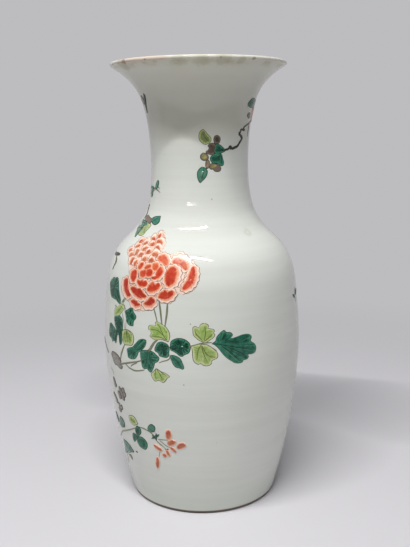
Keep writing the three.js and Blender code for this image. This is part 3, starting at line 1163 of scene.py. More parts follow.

# Leaves in dark green: shade, foot, outline. Shades near 1 give a grey-green; on the leaves low on the left
# edge that grey is partly painted sheen, as light grazing the glaze there would give
DARK_LEAVES = (
    (0.3, (4, 181), (
        6.8, 182.5, 7.5, 186, 9, 189, 10.5, 191.2, 11.7, 192, 13, 190, 15, 189.6, 16.2, 187.8, 16.2, 186,
        15.2, 184.2, 17, 184.3, 19, 185.2, 22, 186.3, 25, 186.2, 26.8, 184.5, 27.2, 182.3, 26.6, 180,
        27, 178.6, 28.7, 176.5, 29.8, 173, 29.6, 169.5, 28.5, 167.3, 26.5, 166.6, 25, 167, 25.2, 165,
        24.6, 163, 23, 162.2, 22, 162, 21.5, 160.3, 19.5, 159.6, 17, 160.5, 15.3, 162.5, 13, 165.5,
        11, 169, 9.5, 172.5, 8, 176, 6.5, 178.5, 5, 180,
    )),
    (0, (-17.5, 177), (
        -26, 173.5, -25.3, 176.5, -24, 179.5, -22, 180.7, -19.8, 180, -18.2, 178.3, -17.3, 175,
        -17.5, 171, -17.6, 168, -19, 166, -21.5, 166.2, -23.3, 167, -24, 169.5, -25.8, 171,
    )),
    (0.05, (-17.5, 177), (
        -16.8, 181, -15, 183.8, -12.5, 185.2, -10, 184.8, -7.8, 183, -6.4, 180.5, -6, 177, -6.3, 173.5,
        -7.3, 171, -9, 169.8, -10.5, 168, -12, 168.5, -13.5, 170.5, -15.5, 172.5, -17, 174,
    )),
    (0.3, (-16.9, 168.5), (
        -16.8, 168.5, -15.3, 169.2, -13, 168, -11.2, 165.5, -10.3, 162, -9.8, 159.5, -9.6, 157,
        -10.5, 155.8, -12, 156.8, -14, 157.5, -15.3, 159.5, -16.2, 162.5, -16.9, 165.5,
    )),
    (0.15, (-47.8, 202.5), (
        -47.4, 203.2, -45.4, 205.2, -43, 207.6, -41.2, 207.2, -40.4, 204.4, -38.4, 201, -38.6, 198.2,
        -40, 195.4, -40.2, 191.6, -41, 190.6, -43.4, 190.6, -45.4, 192.2, -46.2, 195, -47, 199,
    )),
    (0.2, (-31, 178.5), (
        -31, 178.5, -31.5, 180.3, -33.5, 180.8, -36, 179.3, -37.8, 176.5, -39.5, 173.5, -41, 171,
        -43.5, 169.5, -45.3, 167.5, -45.2, 165, -44.8, 162, -44.3, 159.5, -42, 158.8, -39.5, 159.5,
        -38, 161.5, -37, 164, -36.3, 167, -35.5, 168, -33.5, 170.5, -32, 173.5, -31.3, 176,
    )),
    (0.25, (-30, 172), (
        -35, 168.8, -33, 170.3, -30, 171, -27, 170.3, -25, 168, -23.3, 165.5, -23.3, 163.5, -24.3, 161,
        -25.8, 159.5, -26.3, 156.5, -27.2, 153, -28.3, 150, -29.8, 150.5, -31, 152.8, -32.5, 152,
        -34, 153.5, -34.5, 156.5, -34.8, 160, -35.2, 164,
    )),
    (0.05, (-52.5, 209.5), (
        -65.4, 229.2, -63.2, 231, -60.8, 231, -59, 232.2, -56.8, 231.4, -55.8, 228.4, -54.8, 222.8,
        -53.6, 217.4, -52.2, 212.8, -52.4, 208.4, -54.8, 208.6, -57.2, 210.4, -60.8, 210.8, -64.4, 211.4,
        -66.6, 214.8, -68.4, 220.2, -68.8, 224.6,
    )),
    (0, (-53, 196), (
        -58.6, 194, -55.4, 197, -52, 197, -49.6, 194.2, -49, 189, -49, 183.8, -49.2, 177.8, -49.8, 171.6,
        -51.2, 169.2, -52.2, 170.6, -52.6, 175, -53.6, 178.4, -54.8, 175.6, -55.4, 170.2, -56.6, 168.8,
        -57.4, 170.8, -56.6, 176.4, -55.8, 181.2, -57.2, 185.2, -58.4, 189.2,
    )),
    (0.1, (-56, 181), (
        -65.2, 185, -62.6, 186.4, -59.8, 185, -56.6, 182.4, -55.6, 179, -56.6, 176.4, -57.4, 173,
        -58, 169.8, -59.4, 170, -60.6, 168.2, -61.6, 170.6, -63.4, 171.6, -65.4, 172.6, -66.2, 177,
        -65.6, 181,
    )),
    (0.35, (29, 349.5), (
        17.6, 355.2, 20.4, 355.8, 24, 354.4, 27, 352.4, 29.6, 350.4, 29.6, 348.6, 26.8, 347.6, 24, 346.6,
        20.2, 345.8, 17, 346.6, 15.8, 349.2, 16.6, 352.4,
    )),
    (0.3, (24, 346), (
        11.2, 342.4, 13.8, 345.6, 17, 347, 20.8, 346.6, 24, 346.8, 26, 345, 26.8, 342.2, 28, 339.2,
        27.6, 336.2, 25.6, 335, 23, 335.6, 20.2, 337, 17, 337.8, 13.4, 338.4,
    )),
    (0.8, (4.5, 334), (
        -3.2, 328.2, -2.2, 331.6, 0.4, 334, 3.2, 335, 6.2, 333.8, 8.8, 331, 8, 327.4, 5.6, 324,
        2.4, 321.6, 0.2, 320, -2.4, 323.2,
    )),
    (0.2, (57, 389), (
        57.5, 391.5, 60, 394.5, 64, 397, 70, 397.5, 78, 396.5, 86, 395.5, 88, 391, 80, 389, 70, 388,
        64, 388.5, 60, 390,
    )),
    (0.7, (-29, 89), (
        -34.5, 91, -33, 95, -31, 96.5, -29.2, 95, -28.8, 92, -29.8, 89, -32, 87.5, -34, 88.5,
    )),
    (0.05, (-43.5, 88), (
        -43.4, 89.6, -41.4, 89.4, -40, 87, -40.2, 83, -42, 79.8, -43.6, 77, -44.6, 79, -45.4, 81.2,
        -45.4, 85,
    )),
    (0.1, (-46, 79), (
        -48.2, 79.6, -46.2, 79.8, -44.6, 77.8, -44.6, 75.2, -46.6, 71.6, -47.8, 69.8, -49, 70,
        -49.4, 73.2, -49.2, 76.6,
    )),
    (0.3, (-46, 80), (
        -45, 74, -43.5, 77.5, -41, 79, -38.5, 78, -36.8, 75.5, -36.3, 72, -37.2, 68, -39, 65.5,
        -42, 65.8, -44, 67.5, -45.2, 70.5,
    )),
    (0.95, (-58, 80), (
        -62, 89.8, -60, 90, -57.6, 88.4, -56.4, 85.2, -57.4, 80.8, -60.2, 78.2, -63.8, 77.2, -65.8, 79.6,
        -64.8, 84.6,
    )),
    (0.75, (-54, 56), (
        -65.6, 62.2, -61.2, 63.6, -57.2, 63, -53.4, 60, -51.6, 57, -52.8, 54.8, -55.6, 54, -59.4, 52.2,
        -64.4, 47.4, -69.4, 44, -68.2, 48.4, -65.8, 54.8, -65.4, 59.6,
    )),
    (0.6, (-52.5, 282), (
        -55, 286, -51.8, 287.8, -46.8, 288.6, -43, 288.8, -42.4, 285.8, -42.4, 282.8, -45.6, 280.6,
        -49.4, 280.8, -52.8, 282.4,
    )),
    (1, (-62, 277), (
        -75.6, 275.4, -69, 278.6, -62.6, 278.2, -61.2, 275.8, -62.6, 272.6, -62.8, 269.8, -63.2, 267.6,
        -66.6, 269.6, -71.2, 272.8,
    )),
    (0.9, (-51, 313.5), (
        -61.8, 313.6, -61.2, 317.2, -58.6, 320.4, -56, 321.8, -54, 321, -53.8, 318, -55.4, 315,
        -58.6, 312.8,
    )),
    (0.95, (-60, 314.5), (
        -71.8, 305.6, -75.8, 308.4, -74.6, 312, -79.4, 314.8, -69.6, 315.8, -65.8, 314, -67.2, 310.2,
        -66.6, 307.2, -68.6, 305.2,
    )),
    (0, (-30, 84), (
        -28.6, 88, -28.2, 85.6, -26.6, 87.6, -27, 85, -28.2, 83.6, -29, 80, -30, 81.4, -32.6, 80.4,
        -31.4, 82.8, -31.8, 84.8, -30.4, 84.2, -29.4, 85.4,
    )),
    (1, (-67, 88), (-71, 89.6, -68.2, 89.6, -66.6, 86.6, -66.2, 82.4, -68.2, 79.6, -70.4, 81, -72, 84.6)),
    (0.9, (-62, 280.5), (-76, 282.6, -67.8, 282.8, -60.2, 281.2, -58.4, 279, -63.4, 278.2, -69.2, 278.2)),
)

# Leaves in light green: shade, foot, outline
LIGHT_LEAVES = (
    (0.45, (0.8, 181.5), (
        -1.5, 183, -2.7, 184.5, -4.6, 188, -5, 193, -4.8, 195.5, -3.3, 196.3, -1.7, 195, -1.3, 196.5,
        -0.5, 198.3, 1.2, 199, 3, 198, 3.7, 196, 3.2, 194.3, 4.5, 194, 6.3, 193, 6.6, 191, 6, 190,
        6.9, 188.5, 6.5, 186.5, 5.3, 184.5, 3.5, 182.5, 1.5, 181,
    )),
    (0.4, (-0.5, 179.5), (
        -3, 180, -6, 178, -5.5, 175.5, -5.3, 172, -5.2, 168, -4.8, 164.5, -3.6, 162, -2, 160.8,
        -1, 161.8, 0, 160.3, 1.7, 159.3, 3.6, 159.8, 4.8, 161.5, 5, 164, 6, 165, 7.7, 166.2, 8.3, 169,
        7.8, 172, 6.5, 174.5, 4.5, 177.5, 2, 179.8,
    )),
    (0.5, (-18.5, 182), (
        -30, 192.5, -29.2, 194.5, -27, 195.2, -25.5, 194.8, -25.8, 197.5, -24.5, 198.8, -22.5, 197.5,
        -20.5, 196, -19, 194, -17.5, 190.5, -17, 186.5, -17.3, 183.5, -18, 180.8, -19.5, 181.5,
        -22, 182.3, -25, 181.5, -26.5, 181.8, -28, 183, -29, 184.8, -28.3, 186.5, -28.5, 189.3,
        -29.8, 190.2,
    )),
    (0.5, (-25.2, 156), (
        -24.5, 154.5, -22.5, 152.5, -20, 151.5, -18.3, 149.5, -17.5, 148, -18.8, 146.5, -19.6, 144.3,
        -20.5, 142.3, -21.6, 141.4, -22.8, 142.3, -24, 143.2, -25.2, 142.2, -26.3, 141.8, -27.5, 143.8,
        -28.5, 147, -28.5, 149, -27, 151.5, -25.8, 154,
    )),
    (0.4, (-46, 185.5), (
        -49, 184.4, -46.2, 186.2, -43, 185.8, -40.6, 183.6, -39.6, 179.6, -40, 175, -41.4, 172,
        -44.2, 171.4, -46.8, 170.8, -48.6, 172.8, -49.6, 176.8, -50, 181.2,
    )),
    (0.45, (-50, 207.5), (
        -58, 205.8, -55.4, 204.6, -52, 208.8, -49.2, 208.6, -47.8, 206.4, -49.4, 203, -51, 200,
        -53.2, 196.8, -58, 194.4, -59.2, 198.2, -58.4, 202,
    )),
    (0.6, (-51, 210), (-51, 210, -49.5, 212, -48, 214.5, -46.3, 217, -47.5, 214, -49, 211)),
    (0, (11.5, 357), (
        -0.8, 362.6, -0.2, 365.8, 1.6, 368, 4.2, 369, 6.4, 367.4, 8.6, 365.2, 10.8, 363.2, 12.8, 361,
        12.8, 358.2, 11.2, 356.4, 9, 355.6, 6.6, 355, 3.8, 356, 1.2, 357.6, -0.4, 360,
    )),
    (0.2, (-43.5, 92), (
        -49.6, 97.6, -46.4, 99.4, -44, 98.2, -42.4, 94.6, -41.8, 92.4, -43.4, 90.4, -45.8, 88.6,
        -47.8, 89.4, -49.4, 91, -50, 93.8,
    )),
    (0.95, (-53.5, 272), (
        -61.6, 270.4, -62.8, 274, -62, 278.4, -57, 281, -51.8, 280.2, -52, 277.4, -53.4, 274.6,
        -53.8, 271.4, -56, 270,
    )),
)
HAND_VEINED = 4  # the first leaves of both kinds, whose veins are listed one by one

# Blots of other enamels, with no veins: shade, outline
BLOTS = (
    (0.05, (
        15.6, 357.4, 15.4, 360.4, 16.4, 362.6, 19, 363.6, 21.8, 362.8, 23.6, 360.4, 23.2, 357.8,
        21.6, 355.8, 18.8, 355.4, 16.6, 355.8,
    )),
    (0.2, (
        8.8, 353.8, 10.8, 356, 14.2, 356.6, 17.6, 355.6, 19, 353.4, 18.2, 350.2, 16.8, 347.4,
        14.6, 345.2, 10.4, 346, 7, 347, 7, 349.2, 9.4, 350.4, 10.2, 352.4,
    )),
    (1, (
        0.4, 344.4, 1.6, 346.8, 4.4, 348, 7.4, 347, 9.6, 345.2, 10.2, 342.8, 8.6, 341, 5.8, 340.2,
        2.8, 340.8, 0.8, 342.4,
    )),
    (0.85, (6.6, 340, 9, 341.6, 11, 340.2, 11.4, 337.4, 11, 334.6, 9, 333, 6.8, 333.2, 6.2, 336)),
    (1, (
        11, 337.2, 14.8, 338.2, 18.8, 337.4, 21.4, 335.8, 18.8, 334.2, 15, 332.2, 11.4, 332.6,
        10.4, 334.8,
    )),
    (0.4, (
        15, 332.2, 15.8, 334.4, 18.8, 335.8, 22.4, 335.8, 24.6, 333.4, 23.6, 330.8, 20.2, 329.8,
        16.8, 330.4,
    )),
    (0.6, (
        -61.2, 158.8, -57, 159.2, -53.4, 157.6, -51.6, 155, -50.8, 152.8, -51.6, 149.8, -49.8, 148.4,
        -50.8, 145.2, -53.2, 144.8, -55.6, 146.4, -58.2, 146.2, -60.2, 148.4, -62, 152.4, -63, 155.2,
    )),
    (0.45, (
        -70.6, 286.8, -65.6, 288.2, -60, 286.6, -54.8, 285.6, -53.4, 283, -54.4, 281, -60.8, 281.6,
        -67.8, 282.8, -71.6, 284.8,
    )),
    (0.4, (61, 381.4, 65.5, 384, 71, 383, 71.5, 379.5, 66.5, 378.2)),
    (0.5, (-80, 396, -76, 400.5, -71, 401, -68, 397.5, -70, 393.5, -75, 392.5)),
    (0.2, (-49.2, 58.5, -48, 59.6, -46.9, 58.4, -48, 57.4)),
    (0.9, (-61, 48, -57.6, 49.8, -55.8, 47.6, -56.6, 44.2, -58.4, 45, -60.8, 46.2)),
    (0.95, (-23.8, 72.6, -23, 72, -21.8, 73.2, -21.4, 71.8, -22.4, 70, -23.2, 70.4)),
)

# Middles of the petals of the grey blossoms low on the left, each a copy of the first blot
GREY_PETALS = (
    -55.6, 121.8, -52.2, 122.8, -57.6, 117, -53.8, 118.6, -51, 119, -56.6, 113.8, -53, 114.4,
    -59.6, 102.6, -57.2, 102, -60, 98.4, -62.2, 128.8, -61.6, 126, -61, 124, -65.6, 111, -63.8, 108.8,
    -62.8, 106.2,
)

# Stems and branches: width, then places along them
STEMS = (
    (1.2, (-74, 297.6, -72.6, 292.6, -71.2, 289.2, -73.2, 285.4, -74.4, 281.8, -75.4, 276.8)),
    (0.8, (-59.4, 313.8, -55, 312.4, -51, 310.6)),
    (1.4, (-26.8, 211, -25.6, 205, -24.3, 197)),
    (1.9, (-23.6, 218, -22.6, 208, -21.7, 196)),
    (1.9, (-18.6, 216, -19, 206, -20, 194)),
    (2.6, (-30.2, 168.6, -28.6, 172.4, -26.4, 178.4, -24.2, 182.2)),
    (1.1, (-17, 169.2, -17.4, 165.6, -19, 163.6, -21.4, 162.2, -23.4, 160.4)),
    (2, (-51.4, 155.2, -50.6, 160.2, -49, 165.6, -47.2, 171.2)),
    (1.8, (-60, 151, -55, 149.5, -51.8, 150.2, -48.8, 151.8, -41.8, 155.6, -37.6, 157.8, -34.2, 160)),
    (1.5, (-46.6, 151.8, -43.4, 149.4, -39.6, 148.4, -36.2, 149.4, -32.8, 151.2)),
    (1.2, (-42.6, 151.4, -40.6, 154, -37.6, 156.6)),
    (1.1, (-65, 139.8, -62.6, 137.8, -61.4, 134.4)),
    (1.4, (-9, 177.5, -6, 178, 0, 180.8, 5, 181.2)),
    (1.6, (-72, 62, -66.5, 68.5, -63, 72.8, -56, 77.8, -50.8, 81.6, -46.6, 85, -43, 88)),
    (1.4, (
        -41.2, 89.4, -37.6, 89.4, -34.8, 88.4, -32.6, 87.2, -30.6, 84.6, -29, 80, -27.4, 77.4,
        -25.8, 75.2,
    )),
    (0.9, (-28, 81.6, -24.4, 82, -21.2, 82.4)),
    (0.9, (-26.8, 80.6, -24.6, 78.2, -22.6, 76, -19.8, 74.2)),
    (0.8, (-27.4, 77.8, -26.2, 76.4, -23, 72)),
    (0.8, (-27.2, 69.6, -27.8, 66.4, -29, 61.2)),
    (1.6, (-80, 252, -72, 249.5, -67, 246.5, -66.2, 244.4, -66.6, 242.2, -68.4, 238.8, -68.8, 236.8)),
    (0.9, (-77, 315, -63.2, 313.8, -56.6, 312.2, -50.2, 310.2)),
    (1, (-65, 46, -65.2, 41.8, -66.8, 35.4)),
    (0.8, (-50, 212.6, -49.2, 208.6, -47.8, 203.2)),
    (0.9, (-48.4, 208.8, -46.4, 202.2, -46.2, 195, -46.6, 186)),
    (0.8, (-50.2, 201, -48.6, 194.2, -47.2, 185.8)),
    (0.9, (1.5, 179, 4.5, 177, 7.5, 173.5)),
)
BRANCHES = (
    (2.5, (
        26, 348, 30, 350, 33.2, 350.6, 36.4, 353, 39, 351, 43, 351.8, 47.4, 353, 50.4, 355.6,
        52.8, 357.6, 55, 360.4, 52, 362.6, 49.4, 364.2, 51.4, 366, 52.4, 368, 56.2, 368.4, 58.6, 370.6,
        63.4, 372.2, 69, 373.6, 79, 376.6, 81.2, 378,
    )),
    (3.4, (35.4, 353, 37.8, 350.6)),
    (3.2, (52.2, 362.6, 56.6, 360)),
    (3.2, (48.8, 364.4, 51.8, 365.6)),
    (3.2, (56, 368.4, 60, 367.8)),
    (2.2, (-71, 249, -68.4, 246.8, -67.2, 243.6, -67.8, 240.4, -68.2, 236.8)),
    (4, (-77.4, 250.2, -71, 251, -66, 251.6)),
    (1.6, (70, 374, 71, 369, 70, 361.5)),
    (4.5, (-62, 402, -65, 397, -68, 392, -70, 385)),
    (2.4, (-73, 297.8, -72.4, 293.4, -71, 288, -71.6, 284.8)),
)

# Veins drawn one by one
DARK_VEINS = (
    (5.5, 180.8, 14, 177, 24, 172.5, 28, 170),
    (9, 182, 12, 187, 12, 190),
    (14, 180, 20, 181, 25.5, 184),
    (10, 177.5, 15, 171, 20, 162),
    (13, 176.5, 20, 170, 23.5, 164.5),
    (-17.5, 176, -13, 179, -9, 182),
    (-17.5, 176, -12, 176, -7.5, 175.5),
    (-17.5, 176, -13.5, 173, -11, 170),
    (-18, 177, -21, 176, -24.5, 175),
    (-18, 177, -20, 173, -21, 168),
    (-16, 168, -13, 163, -11, 158),
)
LIGHT_VEINS = (
    (-46.6, 185, -47.6, 179.8, -48.2, 173.8),
    (-46, 185.2, -44.8, 180, -44.4, 173.6),
    (-45.6, 185.6, -43, 181.4, -42, 175.8),
    (-45.2, 186.2, -42.4, 184.4, -40.6, 180.6),
    (0.7, 182, -1.5, 186, -3.3, 190, -3.8, 194),
    (1, 182.5, 1.8, 190, 1.5, 196),
    (1.2, 182.5, 3, 185, 5.5, 189),
    (-0.5, 179.5, -2.2, 174, -2.8, 165),
    (-0.3, 179, 0.5, 172, 2.4, 164),
    (0, 178.5, 2.5, 170, 6.8, 167),
    (-18.5, 182, -20.5, 186, -22, 191, -23.5, 196),
    (-20.5, 186, -24, 190.5, -29, 191),
    (-18.8, 182.5, -23, 184.8, -28, 184.3),
    (-25.2, 155, -25.9, 149, -25.7, 144),
    (-25, 154.5, -22.5, 148, -21.8, 143),
    (-24.8, 154.5, -21.5, 151, -19, 148.5),
)

# The back, made up from the same drawing. Copied leaves: number of the leaf, place of the copy, turn
BACK_HEART = (-152, 212)
BACK_DARK_LEAVES = (
    (0, (-128, 205), 60), (1, (-120, 190), 200), (2, (-166, 186), 110), (5, (-140, 178), 30),
    (6, (-152, 172), 340), (7, (-182, 222), 150), (9, (-118, 222), 40), (4, (112, 226), 40),
    (3, (118, 214), 200),
)
BACK_LIGHT_LEAVES = (
    (0, (-134, 192), 250), (1, (-160, 196), 40), (2, (-172, 204), 300), (0, (106, 212), 90),
)
BACK_ROCK = (
    (0.5, (
        -128, 128, -126, 146, -118, 158, -110, 162, -102, 156, -96, 158, -90, 148, -88, 136, -94, 128,
        -108, 124,
    )),
    (0.3, (-116, 138, -112, 152, -104, 158, -98, 150, -99, 140, -106, 135)),
)
BACK_BRANCHES = (
    (3.0, (-108, 158, -112, 172, -122, 184, -132, 196, -142, 206)),
    (2.0, (-112, 172, -120, 186, -118, 204, -116, 218)),
    (2.4, (-96, 156, -86, 162, -76, 160, -68, 154)),
)
BACK_STEMS = (
    (1.6, (-132, 196, -146, 186, -158, 184, -170, 194)),
    (1.0, (72, 216, 71, 209, 72.5, 201)),
    (1.2, (118, 206, 112, 214, 108, 222)),
)

# A sprig at the back, and a bud: its heart, then place and turn of each petal
SPRIG_LEAVES = ((72, 208, 74, 212, 77, 213, 76, 209.5), (71, 206, 69, 209.5, 66.5, 210.5, 68, 207))
BACK_BUD = ((145, 245), ((140, 250), 20), ((146, 247), 60), ((150, 252), 110))


class Decoration:
    """The whole painting, by what it is painted with."""

    def __init__(self):
        self.reds = Painting()
        self.greens = Painting()
        self.lights = Painting()
        self.blots = Painting()
        self.dark_veins = Lines()
        self.light_veins = Lines()
        self.stems = Lines()
        self.branches = Lines()


def paint_flowers(work):
    """The big red flower and the red spray."""
    ground(work.reds, pairs(FLOWER_EDGE), FLOWER_HEART, GROUND_STEPS)
    for numbers in PALE_PETALS:
        ground(work.reds, pairs(numbers), pairs(numbers).mean(axis=0), PALE_STEPS)
    for width, shade, numbers in PETALS:
        near, far, border = 0.9 + 0.45 * width, 0.4 + width, PETAL_BORDER
        if shade > SMALL_PETAL_SHADE:
            near, far, border = 1.1, 2.1 * width, SMALL_BORDER
        petal(work.reds, pairs(numbers), FLOWER_HEART, near, far, shade, border)
    for width, shade, numbers in SPRAY:
        places = pairs(numbers)
        below = places.mean(axis=0) - (0.0, 5.0)
        petal(work.reds, places, below, 0.8 * width, width, shade, SOFT_BORDER)


def paint_leaves(painting, veins, leaves, steps, width):
    """Leaves of one green. Those with the lowest and the highest shades have a narrow border."""
    for k, (shade, foot, numbers) in enumerate(leaves):
        leaf(painting, pairs(numbers), shade, steps if 0.1 < shade < 0.9 else LEAF_STEPS)
        if k >= HAND_VEINED:
            fan_veins(veins, pairs(numbers), foot, width, VEIN_RISE + painting.rise())


def paint_front(work):
    """The side that the photograph shows."""
    paint_flowers(work)
    paint_leaves(work.greens, work.dark_veins, DARK_LEAVES, LEAF_STEPS, 0.6)
    paint_leaves(work.lights, work.light_veins, LIGHT_LEAVES, PALE_LEAF_STEPS, 0.7)
    for shade, numbers in BLOTS:
        leaf(work.blots, pairs(numbers), shade)
    blob = pairs(BLOTS[0][1])
    for k, target in enumerate(pairs(GREY_PETALS)):
        leaf(work.blots, moved(blob, blob.mean(axis=0), target, 50 * k, 0.78), 0.55 + 0.05 * (k % 3))
    for veins, rows, width in ((work.dark_veins, DARK_VEINS, 0.7), (work.light_veins, LIGHT_VEINS, 0.8)):
        for numbers in rows:
            veins.path(numbers, width, VEIN_TAPER, HAND_VEIN_LIFT)
    for width, numbers in STEMS:
        work.stems.path(numbers, width)
    for width, numbers in BRANCHES:
        work.branches.path(numbers, width)


def copy_leaf(painting, veins, source, target, turn, vein_width):
    """A leaf of the front painted again somewhere else, mirrored and a little smaller."""
    shade, foot, numbers = source
    anchor = pairs(numbers).mean(axis=0)
    places, feet = (moved(pairs(row), anchor, target, turn, 0.9, True) for row in (numbers, foot))
    leaf(painting, places, shade)
    fan_veins(veins, places, feet[0], vein_width, VEIN_RISE + painting.rise())


def paint_back(work):
    """The side that the photograph doesn't show, made up from the same flowers and leaves."""
    for width, shade, numbers in PETALS:
        if shade <= SMALL_PETAL_SHADE:
            places = moved(pairs(numbers), FLOWER_HEART, BACK_HEART, turn=20, scale=0.85, flip=True)
            petal(work.reds, places, BACK_HEART, 0.5 + 0.4 * width, 0.85 * width, shade)
    for k, target, turn in BACK_DARK_LEAVES:
        copy_leaf(work.greens, work.dark_veins, DARK_LEAVES[k], target, turn, 0.8)
    for k, target, turn in BACK_LIGHT_LEAVES:
        copy_leaf(work.lights, work.light_veins, LIGHT_LEAVES[k], target, turn, 1.0)
    for shade, numbers in BACK_ROCK:
        leaf(work.blots, pairs(numbers), shade)
    for width, numbers in BACK_BRANCHES:
        work.branches.path(numbers, width)
    for width, numbers in BACK_STEMS:
        work.stems.path(numbers, width)
    for numbers in SPRIG_LEAVES:
        leaf(work.greens, pairs(numbers), 0.2)
    bud_petal = pairs(SPRAY[0][2])
    heart, *copies = BACK_BUD
    for target, turn in copies:
        places = moved(bud_petal, bud_petal.mean(axis=0), target, turn, 1.2)
        petal(work.reds, places, heart, near=0.7, far=1.0, shade=0.7)


def fire(work, guide):
    """Lays the whole painting on the wall, and gives each piece its enamel."""
    laying = laying_group()
    brush = brush_tree(laying)
    enamel = enamel_tree(laying)
    red, dark_green, light_green, aubergine = enamels()
    dark_line = plain_material("dark vein", LINE_ROUGHNESS, (10, 54, 40))
    light_line = plain_material("light vein", LINE_ROUGHNESS, (92, 108, 46))
    stem_wash = plain_material("stem wash", LINE_ROUGHNESS, (122, 124, 96))
    branch_wash = plain_material("branch wash", LINE_ROUGHNESS, (58, 54, 44))
    for drawn, name, tree, finish, slot in (
        (work.reds, "red_flowers", enamel, red, "iron_red_enamel"),
        (work.greens, "dark_leaves", enamel, dark_green, "green_enamel"),
        (work.lights, "light_leaves", enamel, light_green, "light_green_enamel"),
        (work.blots, "brown_blots", enamel, aubergine, "aubergine_enamel"),
        (work.dark_veins, "dark_leaf_veins", brush, dark_line, "black_line"),
        (work.light_veins, "light_leaf_veins", brush, light_line, "black_line"),
        (work.stems, "stems", brush, stem_wash, "aubergine_enamel"),
        (work.branches, "branches", brush, branch_wash, "aubergine_enamel"),
    ):
        piece = drawn.piece(name, tree, guide, finish)
        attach(piece, "root")


# Camera, in millimetres and radians

CAMERA_DISTANCE = 722.37
CAMERA_HEIGHT = 370.09
CAMERA_YAW = 0.0053247
CAMERA_PITCH = 0.1987263
CAMERA_ROLL = -0.0127332
FOCAL_PIXELS = 722.6
IMAGE_HEIGHT = 547
SENSOR = 36.0


def build_camera():
    """The camera that the photograph's rim, foot and outline give."""
    data = bpy.data.cameras.new("camera")
    data.sensor_width = SENSOR
    data.lens = SENSOR * FOCAL_PIXELS / IMAGE_HEIGHT
    data.clip_start = 0.01
    camera = bpy.data.objects.new("camera", data)
    level = Matrix(((1, 0, 0), (0, 0, -1), (0, 1, 0)))
    turn = Matrix.Rotation(CAMERA_YAW, 3, "Z")
    tip = Matrix.Rotation(CAMERA_PITCH, 3, "X")
    lean = Matrix.Rotation(CAMERA_ROLL, 3, "Z")
    right, down, forward = lean @ tip @ level @ turn
    place = Matrix((right, -down, -forward)).transposed().to_4x4()
    place.translation = (0.0, -CAMERA_DISTANCE * MM, CAMERA_HEIGHT * MM)
    camera.matrix_world = place
    bpy.context.scene.collection.objects.link(camera)
    bpy.context.scene.camera = camera


# Stage and lights, in metres and degrees

BACKDROP = srgb(189, 188, 191)  # the grey that stands behind the vase on all sides
BEHIND = (-0.1, 0.3)  # how far back the grey comes in for reflections
TABLE_PAPER = (211, 209, 212)
TABLE_RADIUS = 0.9
TABLE_SIDES = 96
TABLE_DROP = 0.0002  # how far the table top lies below the foot
FADE_FROM = 0.35

ROOM_COLOUR = (0.95, 0.96, 1.0, 1.0)
ROOM_STRENGTH = 0.07
GLOWS = ((60, 40, 0.28), (-75, 30, 0.18), (180, 40, 0.12))  # azimuth, elevation, strength

SMALL_LAMPS = ((-23, 0.42, 1.1), (-12, 0.25, 0.25))  # azimuth, width, watts
LAMP_HEIGHT = 0.05
LAMP_ELEVATION = 20
LAMP_DISTANCE = 2.2


def shows_backdrop(tree, place):
    """1 for the rays that show the background, and 0 for the rays that carry light.

    Reflections show it where it stands behind the vase, and the dim room elsewhere.
    """
    behind = span(tree, part_of(tree, place, "Y"), *BEHIND)
    path = add(tree, "ShaderNodeLightPath").outputs
    mirrored = calc(tree, "ADD", path["Is Glossy Ray"], path["Is Transmission Ray"], use_clamp=True)
    return calc(tree, "MULTIPLY_ADD", mirrored, behind, path["Is Camera Ray"], use_clamp=True)


def paper_material():
    """Pale paper that passes into the backdrop's grey away from the vase."""
    material, tree, shader = new_material("table paper", roughness=0.9)
    shader.inputs["Base Color"].default_value = srgb(*TABLE_PAPER)
    place = add(tree, "ShaderNodeTexCoord").outputs["Object"]
    fade = span(tree, vector_calc(tree, "LENGTH", place), FADE_FROM, TABLE_RADIUS, smooth=True)
    grey = add(tree, "ShaderNodeEmission", {"Color": BACKDROP, "Strength": 1.0}).outputs[0]
    share = product(tree, shows_backdrop(tree, place), fade)
    mix = add(tree, "ShaderNodeMixShader", {0: share, 1: shader.outputs[0], 2: grey})
    tree.links.new(mix.outputs[0], tree.nodes["Material Output"].inputs["Surface"])
    return material


def build_stage():
    """A round pale table top that passes into the grey backdrop on all sides."""
    turns = np.linspace(0, 2 * math.pi, TABLE_SIDES, endpoint=False)
    edge = [(TABLE_RADIUS * math.cos(t), TABLE_RADIUS * math.sin(t), -TABLE_DROP) for t in turns]
    mesh = bpy.data.meshes.new("table top")
    mesh.from_pydata(edge, [], [tuple(range(TABLE_SIDES))])
    mesh.materials.append(paper_material())
    table = bpy.data.objects.new("table top", mesh)
    bpy.context.scene.collection.objects.link(table)


def area_light(name, place, target, size, watts):
    data = bpy.data.lights.new(name, "AREA")
    data.shape = "RECTANGLE"
    data.size, data.size_y = size
    data.energy = watts
    lamp = bpy.data.objects.new(name, data)
    aim = (Vector(target) - Vector(place)).to_track_quat("-Z", "Y")
    lamp.matrix_world = Matrix.Translation(place) @ aim.to_matrix().to_4x4()
    bpy.context.scene.collection.objects.link(lamp)


def towards(azimuth, elevation):
    """The direction of a lamp, in degrees; azimuth 0 is to the front and minus is to the left."""
    a, e = math.radians(azimuth), math.radians(elevation)
    return Vector((math.cos(e) * math.sin(a), -math.cos(e) * math.cos(a), math.sin(e)))


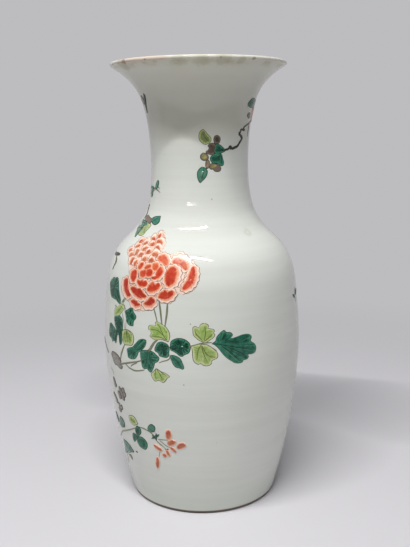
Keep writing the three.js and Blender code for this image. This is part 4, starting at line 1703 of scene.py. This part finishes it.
def build_room():
    """A dim room, brighter towards some sides, with the grey backdrop for the rays that show it."""
    world = bpy.data.worlds.new("room")
    world.use_nodes = True
    tree = world.node_tree
    way = add(tree, "ShaderNodeTexCoord").outputs["Generated"]
    strength = ROOM_STRENGTH
    for azimuth, elevation, bright in GLOWS:
        facing = vector_calc(tree, "DOT_PRODUCT", way, towards(azimuth, elevation))
        facing = calc(tree, "MAXIMUM", facing, 0.0)
        strength = calc(tree, "MULTIPLY_ADD", product(tree, facing, facing), bright, strength)
    background = tree.nodes["Background"]
    background.inputs["Color"].default_value = ROOM_COLOUR
    tree.links.new(strength, background.inputs["Strength"])
    grey = add(tree, "ShaderNodeBackground", {"Color": BACKDROP, "Strength": 1.0}).outputs[0]
    mix = add(tree, "ShaderNodeMixShader", {
        0: shows_backdrop(tree, way), 1: background.outputs[0], 2: grey,
    })
    tree.links.new(mix.outputs[0], tree.nodes["World Output"].inputs["Surface"])
    bpy.context.scene.world = world


def build_lights():
    """A long tube lamp overhead in front, two small lamps far off, and the room's own light."""
    build_room()
    area_light(
        "tube lamp", place=(-0.245, -0.74, 1.75), target=(0, 0, 0.25), size=(1.15, 0.034), watts=32.3,
    )
    neck = Vector((0, 0, 0.3))
    for azimuth, width, watts in SMALL_LAMPS:
        place = neck + towards(azimuth, LAMP_ELEVATION) * LAMP_DISTANCE
        area_light("small lamp", place, neck, (width, LAMP_HEIGHT), watts)


def build_vase():
    """Turns every piece of the vase, and paints the outside."""
    glaze = glaze_material()
    turning = turning_tree()
    sections = {
        "foot_ring": foot_section(),
        "base_floor": floor_section(),
        "floor_luting": floor_slip_section(),
        "lower_belly": wall_section("foot_luting", "belly_luting"),
        "upper_belly": wall_section("belly_luting", "shoulder_luting"),
        "neck": wall_section("shoulder_luting", "neck_luting"),
        "mouth": mouth_section(),
        **{name: slip_section(height) for name, height in JOINTS.items()},
    }
    for node, section in sections.items():
        piece = turned_solid("turned_" + node, section, turning, glaze)
        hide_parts(node)
        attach(piece, "root")
    outside = [(outer(z), z) for z in np.linspace(0, HEIGHT, 216)]
    guide = turned("guide", outside, turning, {})
    work = Decoration()
    paint_front(work)
    paint_back(work)
    fire(work, guide)
    bpy.data.objects.remove(guide)


build_camera()
build_stage()
build_lights()
build_vase()
bpy.context.scene.view_settings.view_transform = "Standard"
